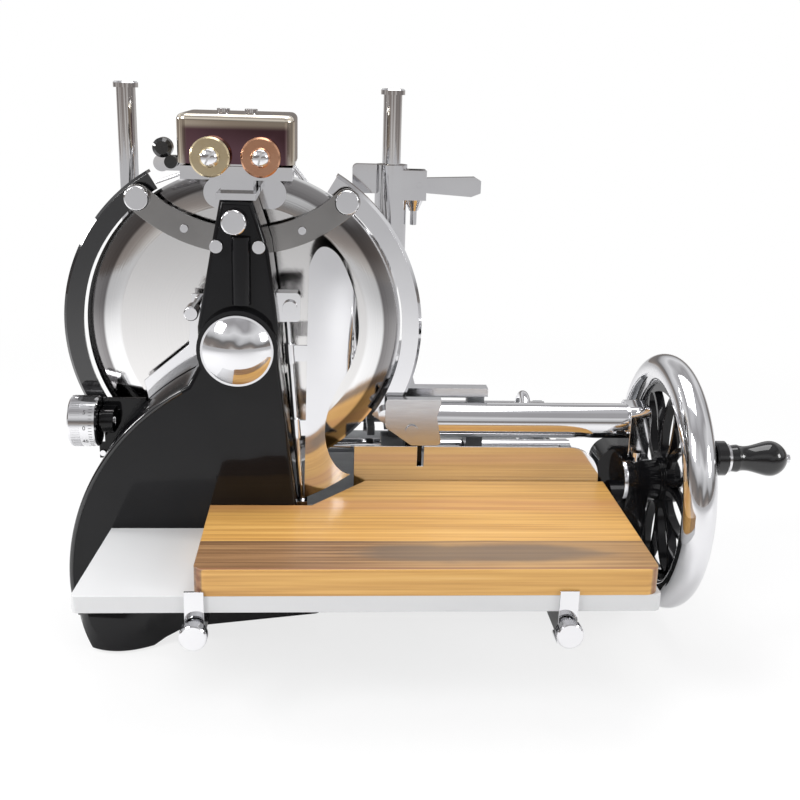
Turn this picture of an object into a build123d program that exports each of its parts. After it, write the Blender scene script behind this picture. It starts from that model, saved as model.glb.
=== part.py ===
"""Hand crank meat slicer: a flywheel machine with an upright knife, a sliding carriage and a hand wheel feed.

Millimetres. +X runs from the knife to the flywheel, +Y away from the operator, +Z up.
The origin is on the table, at the centre of the four pedestal bolts.
"""
from build123d import *
from math import asin, atan2, cos, degrees, hypot, pi, radians, sin, sqrt, tan
import os

os.makedirs("parts", exist_ok=True)

# ---------------------------------------------------------------- driving dimensions
# Clearances
running_gap = 0.05      # radial, of a shaft in its bush
slip_gap = 0.4          # between pieces that pass each other
seat_gap = 0.3          # under a knob or wheel that turns on a face

# Knife and its place
knife_radius = 159.5
knife_x = -125.0
knife_z = 315.0
knife_back_y = -66.0
knife_thickness = 7.0
knife_shaft_radius = 10.0
flange_radius = 34.0
flange_thickness = 7.0
cover_plate_radius = 124.0
cover_plate_thickness = 1.5
cover_plate_bore = 44.0
cover_stud_circle = 56.0

# Ring guards
guard_inner_radius = knife_radius + 1.5
guard_outer_radius = guard_inner_radius + 20
guard_wall = 3.0
guard_depth = 20.0
guard_front_y = -78.0
black_guard_start = 121.0
black_guard_end = 236.0
chrome_guard_start = -35.0
chrome_guard_end = 59.0

# Base
feet_height = 14.0
base_left_x = -262.0
base_right_x = 249.0
base_front_y = -95.0
base_back_y = 176.0
base_top_z = 120.0
base_wall = 6.0
base_corner_radius = 36.0
deck_thickness = 6.0
bolt_spacing_x = 380.0
bolt_spacing_y = 124.0
bolt_hole_radius = 4.25
foot_radius = 17.0
bolt_depth = 30.0

# Front casting: column, boss and apron
casting_front_y = -160.0
casting_wall = 6.0
casting_edge_radius = 5.0
rib_bottom_z = 357.0
rib_top_z = 420.0
bush_radius = 15.0
spigot_radius = 15.0
screw_radius = 3.0
yoke_screw_places = [(-143.5, 411.0), (-104.5, 411.0)]
column_knob_place = (-126.5, 434.0)
casting_foot_z = 3.0
column_top_z = 453.0
column_top_width = 30.0
boss_radius = 38.0
boss_height = 12.0
apron_arc_radius = 231.3
apron_arc_x = -65.0
apron_arc_z = 72.7
apron_low_radius = 124.7
prow_top_z = 60.0
prow_low_z = 10.0
prow_front_y = -178.0
rib_radius = 9.0
dome_radius = 32.0
dome_height = 15.0
dome_rim = 3.0

# Yoke
yoke_arc_x = -124.0
yoke_arc_z = knife_z + 237
yoke_radius = 147.0
yoke_width = 26.0
yoke_thickness = 3.5
yoke_back_y = -86.5
yoke_end_angle = 43.5
yoke_knob_radius = 12.0
yoke_knob_height = 9.0
black_seat_angle = 227.0
bracket_left_x = 20.0
bracket_right_x = 80.0
bracket_top_z = 244.0
bracket_bottom_z = 193.6
bracket_front_y = -91.0
bracket_thickness = 3.0

# Boards
board_left_x = -155.0
board_right_x = 256.0
board_front_y = -306.0
board_back_y = -92.4
wood_bottom_z = 130.0
wood_thickness = 25.0
white_thickness = 16.0
white_left_back_x = -252.0
white_left_front_x = -260.0
board_corner_radius = 12.0
board_step_left_x = -55.0
board_step_right_x = 0.0
board_gap = 0.5
arm_width = 16.0
clip_width = 17.0
clip_left_x = -154.0
clip_right_x = 175.0
clip_thickness = 2.5
arm_height = 26.0
screw_drop = 16.0
thumbscrew_radius = 12.0
thumbscrew_length = 14.0

# Backsplash
splash_left_x = -12.0
splash_height = 38.0
splash_thickness = 2.0
splash_corner_radius = 34.0
splash_slot_x = 58.0

# Guide tube and its carriers
tube_radius = 18.8
tube_wall = 2.0
tube_y = -67.0
tube_z = 215.0
tube_left_x = knife_x + guard_outer_radius + 4
tube_right_x = 281.0
carrier_thickness = 18.0
carrier_front_y = -84.0
carrier_back_y = -50.0
tube_bracket_width = 22.0
bracket_seat_z = 181.0

# Flywheel, crank handle and hub
flywheel_x = 318.0
flywheel_y = -98.0
flywheel_z = 159.0
flywheel_radius = 135.0
rim_radius = 16.3
web_thickness = 9.0
web_radius = 104.0
web_ring_width = 9.0
web_hub_radius = 30.0
petal_count = 8
petal_centre_radius = 62.0
petal_length = 80.0
petal_width = 38.0
petal_bar = 5.0
wheel_hub_right_x = 331.0
handle_pin_radius = 7.0
grip_pin_radius = 6.0
collar_left_x = 335.0
collar_right_x = 347.0
collar_radius = 17.0
grip_left_x = 350.0
grip_neck_radius = 12.5
wheel_hub_radius = 24.0
wheel_shaft_radius = 9.0
hub_housing_radius = 21.5
hub_left_x = 275.5
wheel_bush_radius = 12.0
case_left_x = 263.0
case_right_x = 299.0
case_wall = 4.0
tower_front_y = -88.0
tower_back_y = -50.0
tower_top_z = 191.0
tower_shoulder_radius = 22.0
handle_circle_radius = 109.0
handle_angle = 147.6
grip_radius = 17.0
grip_length = 58.0

# Gears (tooth counts and one module)
gear_module = 2.0
wheel_pinion_teeth = 15
idler_teeth = 30
drive_gear_teeth = 30
train_angle = -62.7
gear_width = 8.0
gear_left_x = 283.0
bevel_face = 9.0
bevel_wheel_teeth = 36
bevel_pinion_teeth = 18
chain_pitch = 8.0
roller_radius = 2.0
link_half_height = 2.8
link_plate = 1.2
lower_sprocket_teeth = 22
upper_sprocket_teeth = 13
gear_backlash = 0.5
drive_shaft_radius = 8.0
idler_pin_radius = 6.0
bush_wall = 3.0

# Carriage, rails, table
rail_radius = 8.0
rail_z = 165.0
front_rail_y = -10.0
back_rail_y = 140.0
carriage_left_x = -250.0
carriage_right_x = 52.0
leg_right_x = 130.0
carriage_front_y = -44.0
carriage_back_y = 158.0
table_front_y = -55.0
table_bottom_z = 237.0
table_thickness = 9.0
rail_block_length = 12.0
frame_height = 18.0
frame_wall = 14.0
sleeve_left_places = (-174.0, 20.0)
sleeve_length = 40.0
leg_width = 18.0
leg_depth = 18.0
leg_bottom_z = 174.5
leg_beam_height = 6.5
groove_count = 16
slot_width = 12.0
slot_reach_front = 36.0
slot_reach_back = 124.0

# Posts, clamp, feed
post_radius = 9.6
post_y = 5.0
post_left_x = -249.0
post_right_x = 25.0
post_top_z = 546.0
cap_radius = 12.5
cap_height = 6.0
rack_x = 8.0
rack_width = 8.0
feed_shaft_y = 85.0
feed_shaft_z = 168.0
feed_pinion_teeth = 16
feed_shaft_radius = 6.0
rack_top_z = 195.0
rack_front_y = -33.0
rack_back_y = 131.0
beam_height = 15.0
beam_depth = 22.0
handwheel_rim = 6.0
handwheel_x = 198.0
handwheel_radius = 34.0
clamp_collar_radius = 17.0
clamp_bar_bottom_z = 374.0
clamp_bar_top_z = 398.0
clamp_top_z = 475.0
grip_plate_bottom_z = 345.0
lever_pivot = (54.0, 455.0)
lever_pin_radius = 3.0

# Thickness dial
dial_left_x = knife_x - guard_outer_radius + 9
dial_length = 28.0
dial_radius = 25.6
dial_y = -104.5
dial_z = 223.0
dial_shaft_radius = 5.0
dial_bracket_y = -87.0

# Sharpener
sharpener_left_x = -179.0
sharpener_right_x = -72.0
sharpener_front_y = -150.0
sharpener_back_y = -50.0
spindle_z = knife_z + 176
cover_bottom_z = spindle_z - 7
cover_top_z = spindle_z + 37
cover_wall = 2.0
spindle_spacing = 45.0
spindle_radius = 4.0
stone_radius = 17.5
button_radius = 18.0
button_thickness = 7.0
cover_screw_places = [(-138.5, -118.0), (-113.0, -118.0)]
lock_pivot = (-187.0, spindle_z - 8)
lock_knob_place = (-194.0, -124.0, spindle_z + 5)

# Deflector
deflector_rod_radius = 3.0
deflector_rod_foot = (-66.4, -128.0, 156.0)
deflector_rod_top = (-80.2, -128.0, 340.0)
deflector_sleeve_radius = 5.0
deflector_thickness = 2.0
latch_bottom_z = 336.0
latch_top_z = 364.0

# ---------------------------------------------------------------- values worked out from the dimensions
deck_top_z = base_top_z + deck_thickness
wood_top_z = wood_bottom_z + wood_thickness
white_bottom_z = wood_bottom_z - white_thickness
table_top_z = table_bottom_z + table_thickness
knife_front_y = knife_back_y - knife_thickness
cover_plate_y = knife_front_y - 1.0
back_plate_thickness = 4.0
back_plate_y = base_front_y + back_plate_thickness
gear_right_x = gear_left_x + gear_width
wheel_pinion_radius = gear_module * wheel_pinion_teeth / 2
idler_radius = gear_module * idler_teeth / 2
drive_gear_radius = gear_module * drive_gear_teeth / 2
idler_reach = wheel_pinion_radius + idler_radius
drive_reach = idler_reach + idler_radius + drive_gear_radius
idler_y = flywheel_y + idler_reach * cos(radians(train_angle))
idler_z = flywheel_z + idler_reach * sin(radians(train_angle))
drive_y = flywheel_y + drive_reach * cos(radians(train_angle))
drive_z = flywheel_z + drive_reach * sin(radians(train_angle))
bevel_wheel_radius = gear_module * bevel_wheel_teeth / 2
bevel_pinion_radius = gear_module * bevel_pinion_teeth / 2


# ---------------------------------------------------------------- planes and profiles used by several pieces
def front_plane(y):
    """The upright plane at this y, seen from the operator: local x is X and local y is Z."""
    return Plane.XZ.offset(-y)


def side_plane(x):
    """The upright plane at this x: local x is Y and local y is Z."""
    return Plane.YZ.offset(x)


def polar(radius, angle):
    """A point at this radius and angle in degrees."""
    return (radius * cos(radians(angle)), radius * sin(radians(angle)))


def gear_face(teeth, first_angle):
    """A flank-straight gear outline with a tooth centred on first_angle, as a face in the open sketch."""
    pitch = gear_module * teeth / 2
    root = pitch - 1.15 * gear_module
    tip = pitch + 0.8 * gear_module
    half_tooth = degrees((pi * gear_module / 2 - gear_backlash) / 2 / pitch)
    corners = []
    for tooth in range(teeth):
        middle = first_angle + 360 * tooth / teeth
        corners += [
            polar(root, middle - 1.5 * half_tooth),
            polar(tip, middle - 0.5 * half_tooth),
            polar(tip, middle + 0.5 * half_tooth),
            polar(root, middle + 1.5 * half_tooth),
        ]
    Polygon(*corners, align=None)


def cylinder_x(radius, left_x, right_x, y, z, mode=Mode.ADD):
    """A cylinder along X between two x values, in the open part."""
    with BuildSketch(side_plane(left_x)) as profile:
        with Locations((y, z)):
            Circle(radius)
    extrude(profile.sketch, amount=right_x - left_x, mode=mode)


def cylinder_y(radius, front_y, back_y, x, z, mode=Mode.ADD):
    """A cylinder along Y between two y values, in the open part."""
    with BuildSketch(front_plane(back_y)) as profile:
        with Locations((x, z)):
            Circle(radius)
    extrude(profile.sketch, amount=back_y - front_y, mode=mode)


def cylinder_z(radius, low_z, high_z, x, y, mode=Mode.ADD):
    """A cylinder along Z between two z values, in the open part."""
    with BuildSketch(Plane.XY.offset(low_z)) as profile:
        with Locations((x, y)):
            Circle(radius)
    extrude(profile.sketch, amount=high_z - low_z, mode=mode)


def block(low_corner, high_corner, mode=Mode.ADD):
    """A rectangular block between two corners, in the open part."""
    middle = [(low + high) / 2 for low, high in zip(low_corner, high_corner)]
    size = [high - low for low, high in zip(low_corner, high_corner)]
    with Locations(tuple(middle)):
        Box(*size, mode=mode)


def rod(radius, start, end, mode=Mode.ADD):
    """A round rod between two points, in the open part."""
    reach = Vector(*end) - Vector(*start)
    with BuildSketch(Plane(start, z_dir=reach)) as profile:
        Circle(radius)
    extrude(profile.sketch, amount=reach.length, mode=mode)


def finish(builder, label):
    """Names the finished piece and writes its file."""
    builder.part.label = label
    export_step(builder.part, f"parts/{label}.step")


# ---------------------------------------------------------------- base
base_middle = ((base_left_x + base_right_x) / 2, (base_front_y + base_back_y) / 2)
base_width = base_right_x - base_left_x
base_depth = base_back_y - base_front_y
rail_left_x = base_left_x + 14
rail_right_x = base_right_x - 14
rail_places = (front_rail_y, back_rail_y)
bolt_places = [
    (side * bolt_spacing_x / 2, row * bolt_spacing_y / 2) for side in (-1, 1) for row in (-1, 1)
]
foot_inset = 24.0
prow_foot = (-246.0, -150.0)
case_foot = (281.0, -62.0)
foot_places = [
    (base_left_x + foot_inset, base_front_y + foot_inset),
    (base_right_x - foot_inset, base_front_y + foot_inset),
    (base_left_x + foot_inset, base_back_y - foot_inset),
    (base_right_x - foot_inset, base_back_y - foot_inset),
]
bearing_half_width = 12.0
bearing_length = 14.0
shaft_bore = drive_shaft_radius + bush_wall
under_deck_z = base_top_z - base_wall
shaft_block_x = knife_x + bevel_pinion_radius + 16
rear_block_y = drive_y + bevel_wheel_radius + 14
block_bottom_z = drive_z - bearing_half_width - 4

with BuildPart() as base_casting:
    with BuildSketch(Plane.XY.offset(feet_height)):
        with Locations(base_middle):
            RectangleRounded(base_width, base_depth, base_corner_radius)
    extrude(amount=base_top_z - feet_height)
    with BuildSketch(Plane.XY.offset(feet_height)):
        with Locations(base_middle):
            RectangleRounded(
                base_width - 2 * base_wall,
                base_depth - 2 * base_wall,
                base_corner_radius - base_wall,
            )
    extrude(amount=base_top_z - feet_height - base_wall, mode=Mode.SUBTRACT)
    with BuildSketch(Plane.XY.offset(feet_height)):
        with Locations(*foot_places, *bolt_places):
            Circle(foot_radius)
    extrude(amount=bolt_depth + base_wall)
    for x, y in bolt_places:
        wall_y = base_front_y + 2 if y < 0 else base_back_y - 2
        block((x - 5, min(y, wall_y), feet_height), (x + 5, max(y, wall_y), feet_height + bolt_depth + base_wall))
    with BuildSketch(Plane.XY.offset(feet_height)):
        with Locations(*bolt_places):
            Circle(bolt_hole_radius)
    extrude(amount=bolt_depth, mode=Mode.SUBTRACT)
    block(
        (shaft_block_x, drive_y - bearing_half_width, block_bottom_z),
        (shaft_block_x + bearing_length, drive_y + bearing_half_width, under_deck_z + 1),
    )
    block(
        (knife_x - bearing_half_width, rear_block_y, block_bottom_z),
        (knife_x + bearing_half_width, rear_block_y + bearing_length, under_deck_z + 1),
    )
    block(
        (knife_x - bearing_half_width - 4, base_front_y - bearing_length, block_bottom_z),
        (knife_x + bearing_half_width + 4, base_front_y + 1, drive_z + bearing_half_width + 4),
    )
    cylinder_x(shaft_bore, shaft_block_x - 1, shaft_block_x + bearing_length + 1, drive_y, drive_z, Mode.SUBTRACT)
    cylinder_x(shaft_bore, base_right_x - base_wall - 1, base_right_x + 1, drive_y, drive_z, Mode.SUBTRACT)
    cylinder_y(shaft_bore, rear_block_y - 1, rear_block_y + bearing_length + 1, knife_x, drive_z, Mode.SUBTRACT)
    cylinder_y(
        shaft_bore, base_front_y - bearing_length - 1, base_front_y + base_wall + 1, knife_x, drive_z, Mode.SUBTRACT
    )
finish(base_casting, "base_casting")

with BuildPart() as base_deck:
    with BuildSketch(Plane.XY.offset(base_top_z)):
        with BuildLine():
            Polyline(
                (base_left_x + 14, back_plate_y + 0.6),
                (base_right_x - 6, back_plate_y + 0.6),
                (base_right_x - 6, base_front_y + 90),
                (base_right_x - 10, base_back_y - 16),
                (base_left_x + 14, base_back_y - 16),
                close=True,
            )
        make_face()
    extrude(amount=deck_thickness)
    chamfer(base_deck.faces().sort_by(Axis.Z)[-1].edges(), length=0.8)
    for rail_y in rail_places:
        for left_x in (rail_left_x, rail_right_x - rail_block_length):
            block(
                (left_x, rail_y - 14, deck_top_z - 1),
                (left_x + rail_block_length, rail_y + 14, rail_z + 5),
            )
            cylinder_x(rail_radius, left_x - 1, left_x + rail_block_length + 1, rail_y, rail_z, Mode.SUBTRACT)
finish(base_deck, "base_deck")

with BuildPart() as rubber_feet:
    with BuildSketch(Plane.XY):
        with Locations(*foot_places, prow_foot, case_foot):
            Circle(foot_radius - 2)
    extrude(amount=feet_height)
    with BuildSketch(Plane.XY.offset(casting_foot_z)):
        with Locations(prow_foot):
            Circle(foot_radius)
    extrude(amount=feet_height, mode=Mode.SUBTRACT)
    chamfer(rubber_feet.faces().group_by(Axis.Z)[0].edges(), length=1.5)
finish(rubber_feet, "rubber_feet")

# ---------------------------------------------------------------- front casting: column, boss and apron
column_left_x = knife_x - column_top_width / 2
column_right_x = knife_x + column_top_width / 2
casting_right_low_x = -46.0
casting_right_board_x = -70.0
prow_left_x = -298.0
prow_right_x = -203.0
prow_curve = [
    (prow_left_x, base_front_y), (-296, -136), (-286, -160), (-270, -173), (-251, -178), (-234, -176), (-218, -169),
    (prow_right_x, casting_front_y),
]


def arc_point(centre_x, radius, angle):
    """A point of one of the apron's arcs, in the front view."""
    return (centre_x + radius * cos(radians(angle)), apron_arc_z + radius * sin(radians(angle)))


def casting_outline():
    """The front view outline of the casting, drawn in the open line."""
    high_arc = [arc_point(apron_arc_x, apron_arc_radius, angle) for angle in (118, 149, 180)]
    low_centre_x = apron_arc_x - apron_arc_radius + apron_low_radius
    foot_angle = degrees(asin((apron_arc_z - casting_foot_z) / apron_low_radius))
    low_arc = [arc_point(low_centre_x, apron_low_radius, 180 + foot_angle * share) for share in (0, 0.5, 1)]
    right = Polyline(
        (prow_right_x - 11, casting_foot_z),
        (prow_right_x, casting_foot_z + 5.5),
        (prow_right_x + 20, casting_foot_z + 17),
        (casting_right_low_x, casting_foot_z + 32),
        (casting_right_board_x, wood_top_z),
        (knife_x + boss_radius, knife_z - boss_radius / 2),
        (knife_x + boss_radius, knife_z + boss_radius / 2),
        (column_right_x + 14, column_top_z - 44),
        (column_right_x, column_top_z),
        (column_left_x, column_top_z),
        (column_left_x - 10, column_top_z - 50),
        (knife_x - boss_radius, knife_z + boss_radius / 2),
        (knife_x - boss_radius, knife_z - boss_radius / 2),
        high_arc[0],
    )
    ThreePointArc(*high_arc)
    ThreePointArc(*low_arc)
    Line(low_arc[2], right @ 0)


def casting_body(inset, back_y):
    """The solid inside the casting's skin, drawn in by inset, with its open back at back_y."""
    front_y = casting_front_y + inset
    toe_y = prow_front_y + inset
    with BuildPart() as body:
        with BuildSketch(front_plane(back_y)):
            with BuildLine():
                casting_outline()
            make_face()
            if inset > 0:
                offset(amount=-inset, mode=Mode.REPLACE)
        extrude(amount=back_y - toe_y)
        with BuildSketch(side_plane(prow_left_x - 10)):
            with BuildLine():
                Polyline(
                    (front_y, 600), (front_y, prow_top_z), (toe_y, prow_low_z), (toe_y - 10, prow_low_z),
                    (toe_y - 10, 600), close=True,
                )
            make_face()
        extrude(amount=400, mode=Mode.SUBTRACT)
        with BuildSketch(Plane.XY.offset(-inset)):
            with Locations((knife_x, base_front_y)):
                Rectangle(600, 400)
            with BuildLine():
                Spline(*[(x, y + inset) for x, y in prow_curve])
                Polyline(
                    (prow_curve[-1][0], prow_curve[-1][1] + inset),
                    (casting_right_low_x + 20, casting_front_y + inset),
                    (casting_right_low_x + 20, base_front_y + 50),
                    (prow_left_x, base_front_y + 50),
                    (prow_left_x, base_front_y + inset),
                )
            make_face(mode=Mode.SUBTRACT)
        extrude(amount=prow_top_z, mode=Mode.SUBTRACT)
    return body.part


with BuildPart() as front_casting:
    add(casting_body(0, base_front_y))
    front_face = front_casting.faces().filter_by(Axis.Y).sort_by(SortBy.AREA)[-2]
    skin_edges = front_face.edges().filter_by_position(Axis.Z, prow_top_z + 2, column_top_z + 1)
    fillet(skin_edges, radius=casting_edge_radius)
    add(casting_body(casting_wall, base_front_y + 1), mode=Mode.SUBTRACT)
    cylinder_y(boss_radius, casting_front_y - boss_height, casting_front_y + casting_wall, knife_x, knife_z)
    cylinder_y(bush_radius, casting_front_y - boss_height - 1, base_front_y, knife_x, knife_z, Mode.SUBTRACT)
    cylinder_z(rib_radius, rib_bottom_z, rib_top_z, knife_x + 4, casting_front_y)
    block(
        (knife_x - rib_radius, casting_front_y + casting_wall, rib_bottom_z - 1),
        (knife_x + 2 * rib_radius, casting_front_y + 2 * casting_wall, rib_top_z + 1),
        Mode.SUBTRACT,
    )
    for x, z in yoke_screw_places + [column_knob_place]:
        cylinder_y(screw_radius + running_gap, casting_front_y - 20, base_front_y, x, z, Mode.SUBTRACT)
finish(front_casting, "front_casting")

with BuildPart() as column_back_plate:
    with BuildSketch(front_plane(back_plate_y)):
        with BuildLine():
            casting_outline()
        make_face()
        offset(amount=-1.5, mode=Mode.REPLACE)
        with Locations((knife_x, 0)):
            Rectangle(600, 2 * (base_top_z + 1), mode=Mode.SUBTRACT)
    extrude(amount=back_plate_thickness)
    cylinder_y(20, back_plate_y - 12, back_plate_y + 6, knife_x, knife_z)
    cylinder_y(bush_radius, back_plate_y - 13, back_plate_y + 7, knife_x, knife_z, Mode.SUBTRACT)
    for x, z in yoke_screw_places:
        cylinder_y(screw_radius + running_gap, base_front_y - 1, back_plate_y + 1, x, z, Mode.SUBTRACT)
finish(column_back_plate, "column_back_plate")

def cap_arc(radius, base_y, top_y):
    """Three points of a round cap's profile, from its rim at base_y to its crown on the axis at top_y."""
    rise = base_y - top_y
    ball = (radius**2 + rise**2) / (2 * rise)
    half_angle = asin(radius / ball) / 2
    return ((radius, base_y), (ball * sin(half_angle), top_y + ball * (1 - cos(half_angle))), (0, top_y))


with BuildPart() as dome_cap:
    cap_back_y = casting_front_y - boss_height
    with BuildSketch(Plane((knife_x, cap_back_y, knife_z), x_dir=(1, 0, 0), z_dir=(0, 0, 1))):
        with BuildLine():
            outside = cap_arc(dome_radius, -dome_rim, -dome_height)
            inside = cap_arc(dome_radius - 4, -dome_rim, -dome_height + 2)
            ThreePointArc(*outside)
            Polyline(
                outside[0],
                (dome_radius + 2, -dome_rim),
                (dome_radius + 2, 0),
                (dome_radius - 4, 0),
                inside[0],
            )
            ThreePointArc(*inside)
            Line(inside[2], outside[2])
        make_face()
    revolve(axis=Axis((knife_x, 0, knife_z), (0, 1, 0)))
finish(dome_cap, "dome_cap")

# ---------------------------------------------------------------- knife, shaft, sprockets and chain
sprocket_front_y = -142.0
sprocket_width = 4.0


def sprocket_pitch_radius(teeth):
    return chain_pitch / (2 * sin(pi / teeth))


lower_radius = sprocket_pitch_radius(lower_sprocket_teeth)
upper_radius = sprocket_pitch_radius(upper_sprocket_teeth)


def sprocket(teeth, z):
    """A sprocket on the knife's x, whose shortened teeth stay inside the chain's rollers."""
    pitch_radius = sprocket_pitch_radius(teeth)
    tip = pitch_radius - roller_radius - slip_gap
    with BuildPart() as wheel:
        with BuildSketch(front_plane(sprocket_front_y + sprocket_width)):
            with Locations((knife_x, z)):
                Circle(tip)
                with PolarLocations(tip, teeth):
                    Circle(roller_radius * 0.75, mode=Mode.SUBTRACT)
        extrude(amount=sprocket_width)
    return wheel.part


with BuildPart() as knife:
    with BuildSketch(Plane((knife_x, 0, knife_z), x_dir=(1, 0, 0), z_dir=(0, 0, 1))):
        with BuildLine():
            Polyline(
                (spigot_radius + running_gap, knife_back_y),
                (knife_radius, knife_back_y),
                (knife_radius, knife_back_y - 0.6),
                (knife_radius - 17, knife_back_y - 4.5),
                (knife_radius - 35, knife_front_y + 0.2),
                (flange_radius + 20, knife_front_y),
                (spigot_radius + running_gap, knife_front_y),
                close=True,
            )
        make_face()
    revolve(axis=Axis((knife_x, 0, knife_z), (0, 1, 0)))
finish(knife, "knife")

with BuildPart() as knife_shaft:
    cylinder_y(knife_shaft_radius, casting_front_y - boss_height - 3, knife_front_y, knife_x, knife_z)
    cylinder_y(flange_radius, knife_front_y - flange_thickness, knife_front_y, knife_x, knife_z)
    cylinder_y(spigot_radius, knife_front_y, knife_back_y, knife_x, knife_z)
    add(sprocket(upper_sprocket_teeth, knife_z))
    with Locations(Plane((knife_x, knife_front_y - flange_thickness, knife_z), z_dir=(0, -1, 0))):
        with PolarLocations(flange_radius - 9, 4, start_angle=45):
            Cylinder(5, 2, align=(Align.CENTER, Align.CENTER, Align.MIN))
finish(knife_shaft, "knife_shaft")

with BuildPart() as knife_cover_plate:
    cylinder_y(cover_plate_radius, cover_plate_y - cover_plate_thickness, cover_plate_y, knife_x, knife_z)
    cylinder_y(cover_plate_bore, cover_plate_y - 5, cover_plate_y + 1, knife_x, knife_z, Mode.SUBTRACT)
    for angle in (90, 225, 315):
        stud_x, stud_z = polar(cover_stud_circle, angle)
        cylinder_y(4.5, back_plate_y, cover_plate_y, knife_x + stud_x, knife_z + stud_z)
finish(knife_cover_plate, "knife_cover_plate")

chain_centres = knife_z - drive_z
chain_lean = asin((lower_radius - upper_radius) / chain_centres)
straight_run = chain_centres * cos(chain_lean)


def chain_point(distance):
    """The place of a roller at this distance along the pitch line, from the right-hand run's foot."""
    upper_wrap = upper_radius * (pi - 2 * chain_lean)
    lower_wrap = lower_radius * (pi + 2 * chain_lean)
    if distance < straight_run:
        share = distance / straight_run
        foot = (lower_radius * cos(chain_lean), drive_z + lower_radius * sin(chain_lean))
        head = (upper_radius * cos(chain_lean), knife_z + upper_radius * sin(chain_lean))
        return (foot[0] + (head[0] - foot[0]) * share, foot[1] + (head[1] - foot[1]) * share)
    distance -= straight_run
    if distance < upper_wrap:
        angle = chain_lean + distance / upper_radius
        return (upper_radius * cos(angle), knife_z + upper_radius * sin(angle))
    distance -= upper_wrap
    if distance < straight_run:
        x, z = chain_point(straight_run - distance)
        return (-x, z)
    distance -= straight_run
    angle = pi - chain_lean + distance / lower_radius
    return (lower_radius * cos(angle), drive_z + lower_radius * sin(angle))


chain_length = 2 * straight_run + upper_radius * (pi - 2 * chain_lean) + lower_radius * (pi + 2 * chain_lean)
roller_count = round(chain_length / chain_pitch)
roller_places = [chain_point(chain_length * index / roller_count) for index in range(roller_count)]

with BuildPart() as drive_chain:
    for plate_y in (sprocket_front_y - slip_gap, sprocket_front_y + sprocket_width + slip_gap + link_plate):
        with BuildSketch(front_plane(plate_y)):
            for half_height, mode in ((link_half_height, Mode.ADD), (-link_half_height, Mode.SUBTRACT)):
                with BuildSketch(mode=Mode.PRIVATE) as loop:
                    with Locations((knife_x, drive_z)):
                        Circle(lower_radius + half_height)
                    with Locations((knife_x, knife_z)):
                        Circle(upper_radius + half_height)
                    make_hull()
                add(loop.sketch, mode=mode)
        extrude(amount=link_plate)
    with BuildSketch(front_plane(sprocket_front_y + sprocket_width + slip_gap)):
        with Locations(*[(knife_x + x, z) for x, z in roller_places]):
            Circle(roller_radius)
    extrude(amount=sprocket_width + 2 * slip_gap)
finish(drive_chain, "drive_chain")

# ---------------------------------------------------------------- ring guards, yoke and their fasteners
knob_stud_radius = 4.0
yoke_front_y = yoke_back_y - yoke_thickness


def yoke_point(angle):
    """A point of the yoke's middle line, at this angle from straight down."""
    return (
        yoke_arc_x + yoke_radius * sin(radians(angle)),
        yoke_arc_z - yoke_radius * cos(radians(angle)),
    )


def ring_guard(start_angle, end_angle):
    """The L-shaped ring between two angles, counted from +X towards +Z."""
    middle = radians(start_angle)
    with BuildPart() as ring:
        with BuildSketch(Plane((knife_x, 0, knife_z), x_dir=(cos(middle), 0, sin(middle)),
                               z_dir=(-sin(middle), 0, cos(middle)))):
            with BuildLine():
                back_y = guard_front_y + guard_depth
                Polyline(
                    (guard_inner_radius, guard_front_y),
                    (guard_outer_radius - guard_wall, guard_front_y),
                    (guard_outer_radius, guard_front_y + guard_wall),
                    (guard_outer_radius, back_y),
                    (guard_outer_radius - guard_wall, back_y),
                    (guard_outer_radius - guard_wall, guard_front_y + guard_wall),
                    (guard_inner_radius, guard_front_y + guard_wall),
                    close=True,
                )
            make_face()
        revolve(axis=Axis((knife_x, 0, knife_z), (0, -1, 0)), revolution_arc=end_angle - start_angle)
    return ring.part


left_knob = yoke_point(-yoke_end_angle)
right_knob = yoke_point(yoke_end_angle)
guard_middle_radius = (guard_inner_radius + guard_outer_radius) / 2
black_seat = polar(guard_middle_radius, black_seat_angle)
black_seat = (knife_x + black_seat[0], knife_z + black_seat[1])
bracket_seat = polar(guard_middle_radius, chrome_guard_start + 3)
bracket_seat = (knife_x + bracket_seat[0], knife_z + bracket_seat[1])

with BuildPart() as black_ring_guard:
    add(ring_guard(black_guard_start, black_guard_end))
    cylinder_y(8, yoke_back_y, guard_front_y, *left_knob)
    cylinder_y(8, back_plate_y, guard_front_y, *black_seat)
    cylinder_y(knob_stud_radius + running_gap, yoke_back_y, guard_front_y + 4, *left_knob, Mode.SUBTRACT)
finish(black_ring_guard, "black_ring_guard")

with BuildPart() as chrome_ring_guard:
    add(ring_guard(chrome_guard_start, chrome_guard_end))
    cylinder_y(8, yoke_back_y, guard_front_y, *right_knob)
    cylinder_y(7, bracket_front_y + bracket_thickness, guard_front_y, *bracket_seat)
    cylinder_y(knob_stud_radius + running_gap, yoke_back_y, guard_front_y + 4, *right_knob, Mode.SUBTRACT)
finish(chrome_ring_guard, "chrome_ring_guard")

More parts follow.
